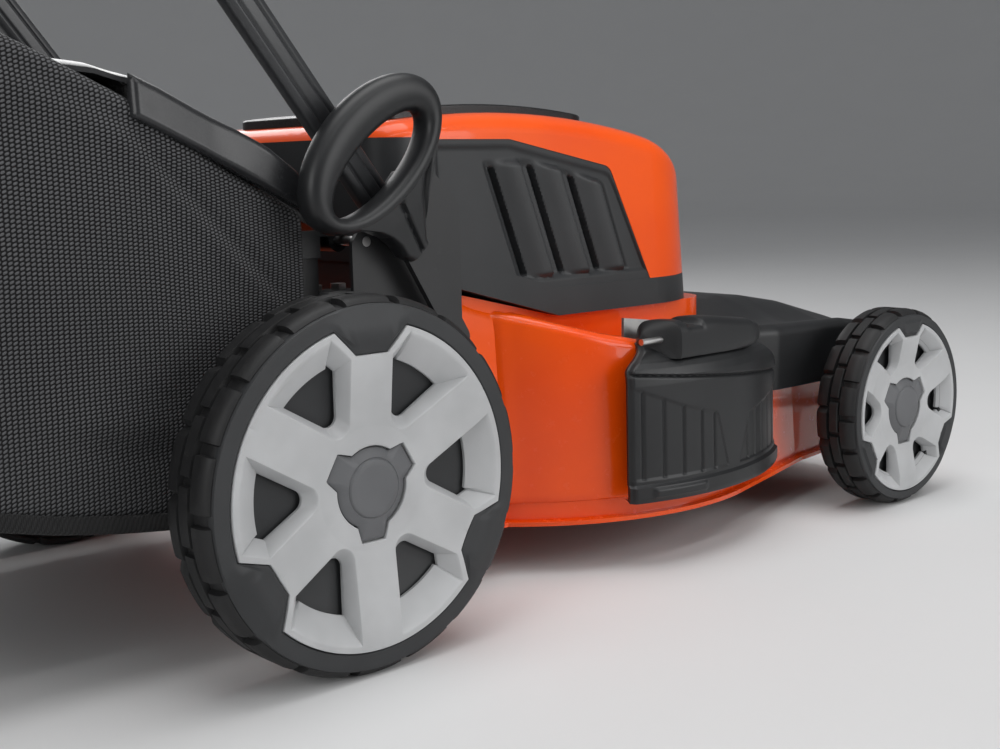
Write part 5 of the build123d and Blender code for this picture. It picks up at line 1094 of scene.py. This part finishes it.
# %% hood panels
HOOD_HALF, HOOD_BACK_X, HOOD_CORNER = 158.0, 45.5, 45.0
HOOD_LEAN = math.tan(math.radians(3.5))
SLOT_X, SLOT_TOP, SLOT_LOW = 181.0, 371.0, 267.0
SLOT_LEAN, PITCH = 0.335, 48.0
PANEL_TOP = [
    (40.0, 394.0), (97.0, 393.5), (199.5, 393.5), (320.0, 369.0),
    (327.5, 366.0), (333.0, 357.0), (379.0, 257.5),
]


def along_line(at, pairs):
    """Value at a place, between the (place, value) pairs on either side of it."""
    return np.interp(at, *np.transpose(pairs))


def panel_relief(x, z):
    """Height of the panel over its recessed floor: raised frame, and louvres that ramp from slot to slot."""
    inside = np.minimum(along_line(x, PANEL_TOP) - z, z - 257.0) - 4.0
    border = 1.0 - ease((np.minimum(inside, x - 110.0) - 2.0) / 5.0)
    lean = x - SLOT_X - (SLOT_TOP - z) * SLOT_LEAN
    upper = np.interp(lean / PITCH, [-20.0 / PITCH, 0.0, 1.0, 2.0, 3.0], [368.0, 371.0, 371.0, 360.0, 346.0])
    within = band(lean, -11.0, 2.75 * PITCH, 5.0)
    within = within * ease((upper + 4.0 - z) / 7.0) * ease((z - SLOT_LOW + 3.0) / 7.0)
    phase = ((lean + 11.0) / PITCH) % 1.0
    ramp = -2.5 + 8.5 * ease(phase / 0.78) * (1.0 - ease((phase - 0.8) / 0.1))
    slot = band(phase, 0.1, 0.2, 0.05) * band(lean, -8.0, 2.45 * PITCH, 3.0)
    slot = slot * ease((upper - 2.0 - z) / 4.0) * ease((z - SLOT_LOW - 1.0) / 4.0)
    return 2.6 * border + (1.0 - border) * within * (ramp - 9.0 * slot)


def hood_wrap():
    """Panel grid: columns follow the hood's plan from one front edge round the rear to the other."""
    side_x = np.linspace(378.6, HOOD_BACK_X + HOOD_CORNER, 215)
    arc = np.linspace(0.0, math.pi / 2, 16)[1:]
    corner_x = HOOD_BACK_X + HOOD_CORNER * (1 - np.sin(arc))
    corner_y = -HOOD_HALF + HOOD_CORNER * (1 - np.cos(arc))
    plan = np.concatenate([
        np.stack([side_x, 0 * side_x - HOOD_HALF], -1),
        np.stack([corner_x, corner_y], -1),
        np.stack([HOOD_BACK_X + np.zeros(10), np.linspace(-112.0, 0.0, 11)[1:]], -1),
    ])
    facing = np.concatenate([
        np.tile([0.0, -1.0], (len(side_x), 1)),
        np.stack([-np.sin(arc), -np.cos(arc)], -1),
        np.tile([-1.0, 0.0], (10, 1)),
    ])
    low = np.interp(plan[:, 0], [40.0, 107.0, 250.0, 500.0], [291.0, 291.0, 256.0, 256.0]) - 1.0
    rise = np.linspace(0.0, 1.0, 76)[:, None]
    x = np.broadcast_to(plan[:, 0], (76, len(plan)))
    z = low + (np.maximum(along_line(plan[:, 0], PANEL_TOP), low + 0.5) - low) * rise
    onside = ease((x - 98.0) / 2.0)
    relief = onside * (-3.2 + panel_relief(x, z)) + (1.0 - onside) * 0.9
    lean = (z - 229.0) * HOOD_LEAN
    reach = (relief - lean)[..., None]
    face = np.concatenate([plan + facing * reach, z[..., None]], -1)
    back = np.concatenate([plan + facing * (-11.0 - lean)[..., None], z[..., None]], -1)
    whole = np.concatenate([face, (face * MIRROR)[:, -2::-1]], 1)
    inner = np.concatenate([back, (back * MIRROR)[:, -2::-1]], 1)
    return closed_slab(whole, inner)


skin("hood_side_panels", hood_wrap(), "chassis", "grey_plastic", ["hood_vents"], 32.0)

# %% [markdown]
# ## The side flap
# The flap is a curved black door on a pin. Its wall follows the deck's round side. Two groups of fine
# upright grooves leave a smooth wedge between them, a lip runs along the bottom with a finger grip, and a
# seam divides the wall from the sloping brow. A housing over the pin covers the return spring.

# %% side flap
DECK_X = 352.5
FLAP_R = 262.0
GROOVES = np.array([-19.5, -14.6, -9.6, -4.6, -0.8, 11.5, 15.0, 19.0, 23.5, 28.5])
FLAP_PROFILE = [
    (62.0, 2.0), (64.0, 3.5), (67.0, 4.6), (78.0, 4.6), (80.0, 1.4), (170.0, 0.0),
    (178.0, -1.0), (185.0, -4.0), (192.0, -9.0), (199.0, -17.0), (204.0, -27.0), (206.5, -36.0),
]


def flap_wall():
    """Flap grid: an upright profile, from lip to brow, carried round the blade's axis and embossed."""
    height = np.concatenate([
        [66.0, 63.5, 64.5, 67.0], np.linspace(69.0, 190.0, 150),
        np.linspace(191.0, 205.0, 18), [206.0, 204.0, 198.0],
    ])
    base = along_line(height, FLAP_PROFILE)
    base[:1] = -3.0
    base[-2:] = (-38.0, -38.0)
    left = -22.5 + 5.5 * ease((height - 181.0) / 24.0)
    right = 33.5 - 13.0 * ease((height - 160.0) / 45.0)
    a = left[:, None] + (right - left)[:, None] * np.linspace(0.0, 1.0, 225)[None]
    z = np.broadcast_to(height[:, None], a.shape)
    seam = 181.0 - 0.4 * (a + 22.5)
    wedge = np.interp(a, [-22.5, -9.8, 0.0, 5.0, 12.0, 33.5], [172.0, 151.0, 139.0, 60.0, 132.0, 146.0])
    wall = (z > 68.0) & (z < 191.0)
    groove = np.exp(-(((a[..., None] - GROOVES) / 0.32) ** 2)).sum(-1)
    ribbed = ease((wedge - z) / 4.0) * ease((z - 83.0) / 3.0)
    emboss = -ribbed * (1.1 + 1.5 * groove)
    emboss -= 2.0 * np.exp(-(((z - seam) / 1.3) ** 2))
    emboss += 1.6 * ease((z - seam) / 2.0) * (z < 196.0)
    emboss += 2.4 * band(a, -17.5, -4.5, 1.5) * band(z, 66.0, 76.0, 4.0)
    rim = ease(np.minimum(a - left[:, None], right[:, None] - a) / 1.2)
    radius = FLAP_R + base[:, None] + wall * emboss * rim - 4.0 * (1.0 - rim)
    turn = np.radians(a)
    outer = np.stack([DECK_X + radius * np.sin(turn), -radius * np.cos(turn), z], -1)
    inside = np.minimum(radius - 3.5, FLAP_R - 4.5)
    inner_z = np.clip(z, 66.0, 200.0)
    inner = np.stack([DECK_X + inside * np.sin(turn), -inside * np.cos(turn), inner_z], -1)
    return closed_slab(outer, inner)


def flap_housing():
    """Housing grid: a rounded hood carried along the pin, lower at its front, notched for the spring."""
    along = np.linspace(0.0, 1.0, 90)
    turn = np.linspace(0.0, 2.0 * math.pi, 49)
    x = 294.0 + 133.0 * along
    end = np.sqrt(np.clip(np.minimum(along / 0.02, (1.0 - along) / 0.12), 0.0, 1.0))
    tall = (22.0 - 8.0 * ease((along - 0.35) / 0.65)) * (0.55 + 0.45 * end)
    wide = 20.0 * (0.7 + 0.3 * end)
    notch = 7.0 * band(along, 0.12, 0.3, 0.04)
    square = squared_off(np.sin(turn), 0.6)
    flat = squared_off(np.cos(turn), 0.6)
    top = np.clip(np.sin(turn), 0.0, 1.0)
    z = 205.0 + tall[:, None] * square[None] - notch[:, None] * top[None] ** 2
    y = -238.0 - wide[:, None] * flat[None]
    slant = 9.0 * (1.0 - along)[:, None] * flat[None]
    grid = np.stack([x[:, None] + slant, y, np.maximum(z, 192.0)], -1)
    start, finish = (grid.mean(1)[k, None, None] + 0.0 * grid[:1] for k in (0, -1))
    return [np.concatenate([start, grid, finish])]


skin("flap_door", flap_wall() + flap_housing(), "side_flap", "black_plastic", ["side_flap"], 32.0)

# %% [markdown]
# ## The front cover
# A black moulding over the front axle. A hump crosses it behind the axle and falls to the nose. On each
# side a shallow valley divides it from a rounded brow above the wheel. It is a height map over the plan
# with skirts.

# %% front cover
COVER_HALF = [
    (411.0, 188.0), (455.0, 200.0), (490.0, 205.0), (515.0, 211.0),
    (705.0, 211.0), (732.0, 208.5), (744.0, 203.0), (749.0, 197.0),
]
HUMP = [
    (411.5, 206.0), (440.0, 209.0), (480.0, 214.5), (515.0, 222.0), (540.0, 224.0),
    (580.0, 221.0), (640.0, 210.5), (700.0, 194.0), (738.0, 181.0), (748.5, 174.0),
]
BROW = [
    (411.5, 203.0), (460.0, 202.0), (520.0, 200.0), (585.0, 198.0),
    (640.0, 196.0), (700.0, 187.0), (740.0, 176.0), (748.5, 170.0),
]
COVER_LOW, COVER_ROUND = 133.0, 12.0


def cover_grid():
    """Cover height map: hump, valley and brow are blends across, each with its own side view."""
    x = np.concatenate([[411.5, 411.5], np.linspace(413.0, 744.0, 110), [747.0, 748.5, 748.5]])
    half = along_line(x, COVER_HALF)
    across = np.sin(np.linspace(-math.pi / 2, math.pi / 2, 121))
    s = np.concatenate([[-1.0, -1.0], across[1:-1] * 0.999, [1.0, 1.0]])
    xs, ss = np.meshgrid(x, s, indexing="ij")
    y = half[:, None] * ss
    away = np.abs(y)
    hump, brow = along_line(xs, HUMP), along_line(xs, BROW)
    valley = np.minimum(brow, hump) - 4.0 * ease((xs - 545.0) / 40.0)
    edge = np.broadcast_to(half[:, None], away.shape)
    z = hump + (valley - hump) * ease((away - 0.5 * edge) / (0.36 * edge))
    z = z + (brow - valley) * ease((away - 0.88 * edge) / (0.05 * edge))
    past = (away - edge + COVER_ROUND).clip(0.0) / COVER_ROUND
    z = z - COVER_ROUND * (1.0 - np.sqrt(np.clip(1.0 - past**2, 0.0, 1.0)))
    z[:, [0, -1]] = COVER_LOW
    z[[0, -1]] = COVER_LOW
    z[1] = np.minimum(z[1], z[2])
    z[-2] = np.minimum(z[-2], z[-3]) - 6.0
    z[-2:, [0, -1]] = COVER_LOW
    upper = np.stack([xs, y, z], -1)
    return closed_slab(upper, upper * (1.0, 1.0, 0.0) + (0.0, 0.0, COVER_LOW - 0.5))


skin("front_cover", cover_grid(), "chassis", "black_plastic", ["front_axle_cover"], 34.0)

# %% [markdown]
# ## The deck's shoulders
# Beside the hood the pressed deck rolls over from its roof into its side wall in one sweep, which sinks
# towards the front as the duct inside narrows. The skin here lies on the deck: its section is the roof, a
# rounded shoulder and the wall, and it fades into the deck at both ends.

# %% deck shoulders
DECK_R, DECK_LOW = 240.0, 45.0
CREST = [
    (48.0, 267.0), (100.0, 266.0), (114.0, 261.5), (150.0, 249.0),
    (205.0, 232.0), (258.0, 216.0), (307.0, 205.0), (352.0, 200.5),
]


def shoulder(side):
    """Shoulder grid: along the deck, a section from under the hood over the shoulder to the rim."""
    x = np.linspace(48.0, 352.0, 96)
    wall = np.maximum(np.sqrt(np.maximum(DECK_R**2 - (x - DECK_X) ** 2, 0.0)), 160.0)
    wall = wall + 3.0 * np.exp(-(((wall - 163.0) / 6.0) ** 2)) + 1.6
    crest = along_line(x, CREST)
    lean = math.tan(math.radians(4.0))
    bend = np.linspace(0.0, math.pi / 2, 12)
    drop = np.linspace(0.0, 1.0, 24)[1:]
    foot = 66.0
    top_wall = wall - (crest - DECK_LOW) * lean
    radius = 13.0
    roof = np.linspace(0.0, 1.0, 14)[:-1]
    inner = np.minimum(144.0, top_wall - 26.0)
    roof_y = inner[:, None] + (top_wall - radius - inner)[:, None] * roof[None]
    roof_z = crest[:, None] + 0.0 * roof_y
    bend_y = (top_wall - radius)[:, None] + radius * np.sin(bend)[None]
    bend_z = (crest - radius)[:, None] + radius * np.cos(bend)[None]
    low_z = (crest - radius)[:, None] + (foot - crest + radius)[:, None] * drop[None]
    low_y = wall[:, None] - (low_z - DECK_LOW) * lean
    y = np.concatenate([roof_y, bend_y, low_y], 1)
    z = np.concatenate([roof_z, bend_z, low_z], 1)
    outer = np.stack([np.broadcast_to(x[:, None], y.shape), side * y, z], -1)
    shrink = outer - np.stack([0 * y, side * (1.2 + 0 * y), 1.2 + 0 * y], -1)
    return closed_slab(outer, shrink)


skin("deck_shoulders", shoulder(-1.0) + shoulder(1.0), "chassis", "orange_paint", (), 45.0)

# %% [markdown]
# ## The hinge plate
# A zinc plate stands beside the flap's hinge, on the deck's shoulder. It is a flat strip that leans inward.

# %% hinge plate
def hinge_plate():
    """Plate grid: a leaning four-cornered face and its back, 3 mm behind it."""
    low = np.array([(279.0, -211.0, 205.0), (330.0, -211.0, 196.0)])
    high = np.array([(286.0, -205.0, 227.3), (326.0, -205.0, 222.0)])
    steps = np.linspace(0.0, 1.0, 9)[:, None]
    face = np.stack([low[0] + (low[1] - low[0]) * steps, high[0] + (high[1] - high[0]) * steps])
    return closed_slab(face, face + (0.0, 3.0, 0.0))


skin("flap_hinge_plate", hinge_plate(), "chassis", "zinc_steel", (), 30.0)

# %% [markdown]
# ## The lower handle tubes
# Each tube is rolled flat on both sides, with two fine grooves along each flat that stiffen it. It rises
# from its bracket towards the fold knob. One section is carried along a straight line and closed at its
# ends.

# %% lower tubes
TUBE_FOOT = np.array([42.5, 312.0])
TUBE_LEAN = math.radians(52.0)
TUBE_HALF_W, TUBE_HALF_D, TUBE_SHIFT = 14.0, 9.0, 2.0
GROOVE_AT, GROOVE_HALF, GROOVE_DEPTH = 6.0, 1.1, 1.2


def handle_tube(side):
    """Tube grid: a rounded flat section with two grooves on each broad face, carried from foot to head."""
    middle = side * (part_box("lower_handle_tubes")[1].y / MM - TUBE_HALF_D)
    turn = np.linspace(0.0, 2.0 * math.pi, 181)
    wide = squared_off(np.cos(turn), 0.7) * TUBE_HALF_W
    deep = squared_off(np.sin(turn), 0.5) * TUBE_HALF_D
    groove = GROOVE_DEPTH * np.exp(-(((np.abs(wide) - GROOVE_AT) / GROOVE_HALF) ** 2))
    deep = deep - np.sign(deep) * groove
    reach = np.array([-20.0, -20.0, -19.0, 505.0, 506.0, 506.0])
    swell = np.array([0.0, 0.94, 1.0, 1.0, 0.94, 0.0])[:, None]
    over = TUBE_SHIFT + wide * swell
    x = TUBE_FOOT[0] - reach[:, None] * math.cos(TUBE_LEAN) + over * math.sin(TUBE_LEAN)
    z = TUBE_FOOT[1] + reach[:, None] * math.sin(TUBE_LEAN) + over * math.cos(TUBE_LEAN)
    return np.stack([x, middle + deep * swell, z], -1)


tubes = [handle_tube(-1.0), handle_tube(1.0)]
skin("grooved_tubes", tubes, "chassis", "handle_paint", ["lower_handle_tubes"], 30.0)

# %% [markdown]
# ## Finishes on the solids that stay
# Each solid names a slot in its record, such as black_plastic. The solids that stay on show take the finish
# of that name through their material slots, and their meshes are left alone.

# %% dress the solids
dressed = 0
for entry in frame["record"]["subparts"]:
    solid = nodes[entry["node"]]
    finish = finishes[entry["material_slot"]]
    for place in solid.material_slots:
        place.link = "OBJECT"
        place.material = finish
    dressed += 1
print("solids dressed:", dressed)

# %% [markdown]
# ## The floor
# A plain pale sheet of paper lies under the mower and sweeps up far behind it on every side, so that no
# horizon shows. It isn't part of the mower.

# %% floor
FLAT_R, SWEEP_R, WALL_TOP = 9.0, 6.0, 12.0
bend = np.linspace(0.0, math.pi / 2, 25)
reach = np.concatenate([[0.0, 3.0], FLAT_R + SWEEP_R * np.sin(bend), [FLAT_R + SWEEP_R]])
climb = np.concatenate([[0.0, 0.0], SWEEP_R * (1.0 - np.cos(bend)), [WALL_TOP]])
compass = np.linspace(0.0, 2.0 * math.pi, 73)
sweep = np.stack([
    reach[:, None] * np.cos(compass),
    reach[:, None] * np.sin(compass),
    climb[:, None] + 0.0 * compass,
], -1)
floor_mesh = bpy.data.meshes.new("studio_floor")
floor_mesh.from_pydata(sweep.reshape(-1, 3).tolist(), [], grid_faces(*sweep.shape[:2]).tolist())
floor_mesh.shade_smooth()
floor = bpy.data.objects.new("studio_floor", floor_mesh)
bpy.context.collection.objects.link(floor)
paper = Paint("floor_paper", specular_ior_level=0.2)
paper.join(
    Base_Color=paper.blend(paper.noise(3.0), (0.7, 0.7, 0.7), (0.73, 0.73, 0.73)),
    Roughness=0.6 + 0.1 * paper.noise(40.0),
)
floor_mesh.materials.append(paper.material)
print("floor flat for", 2 * FLAT_R, "m")
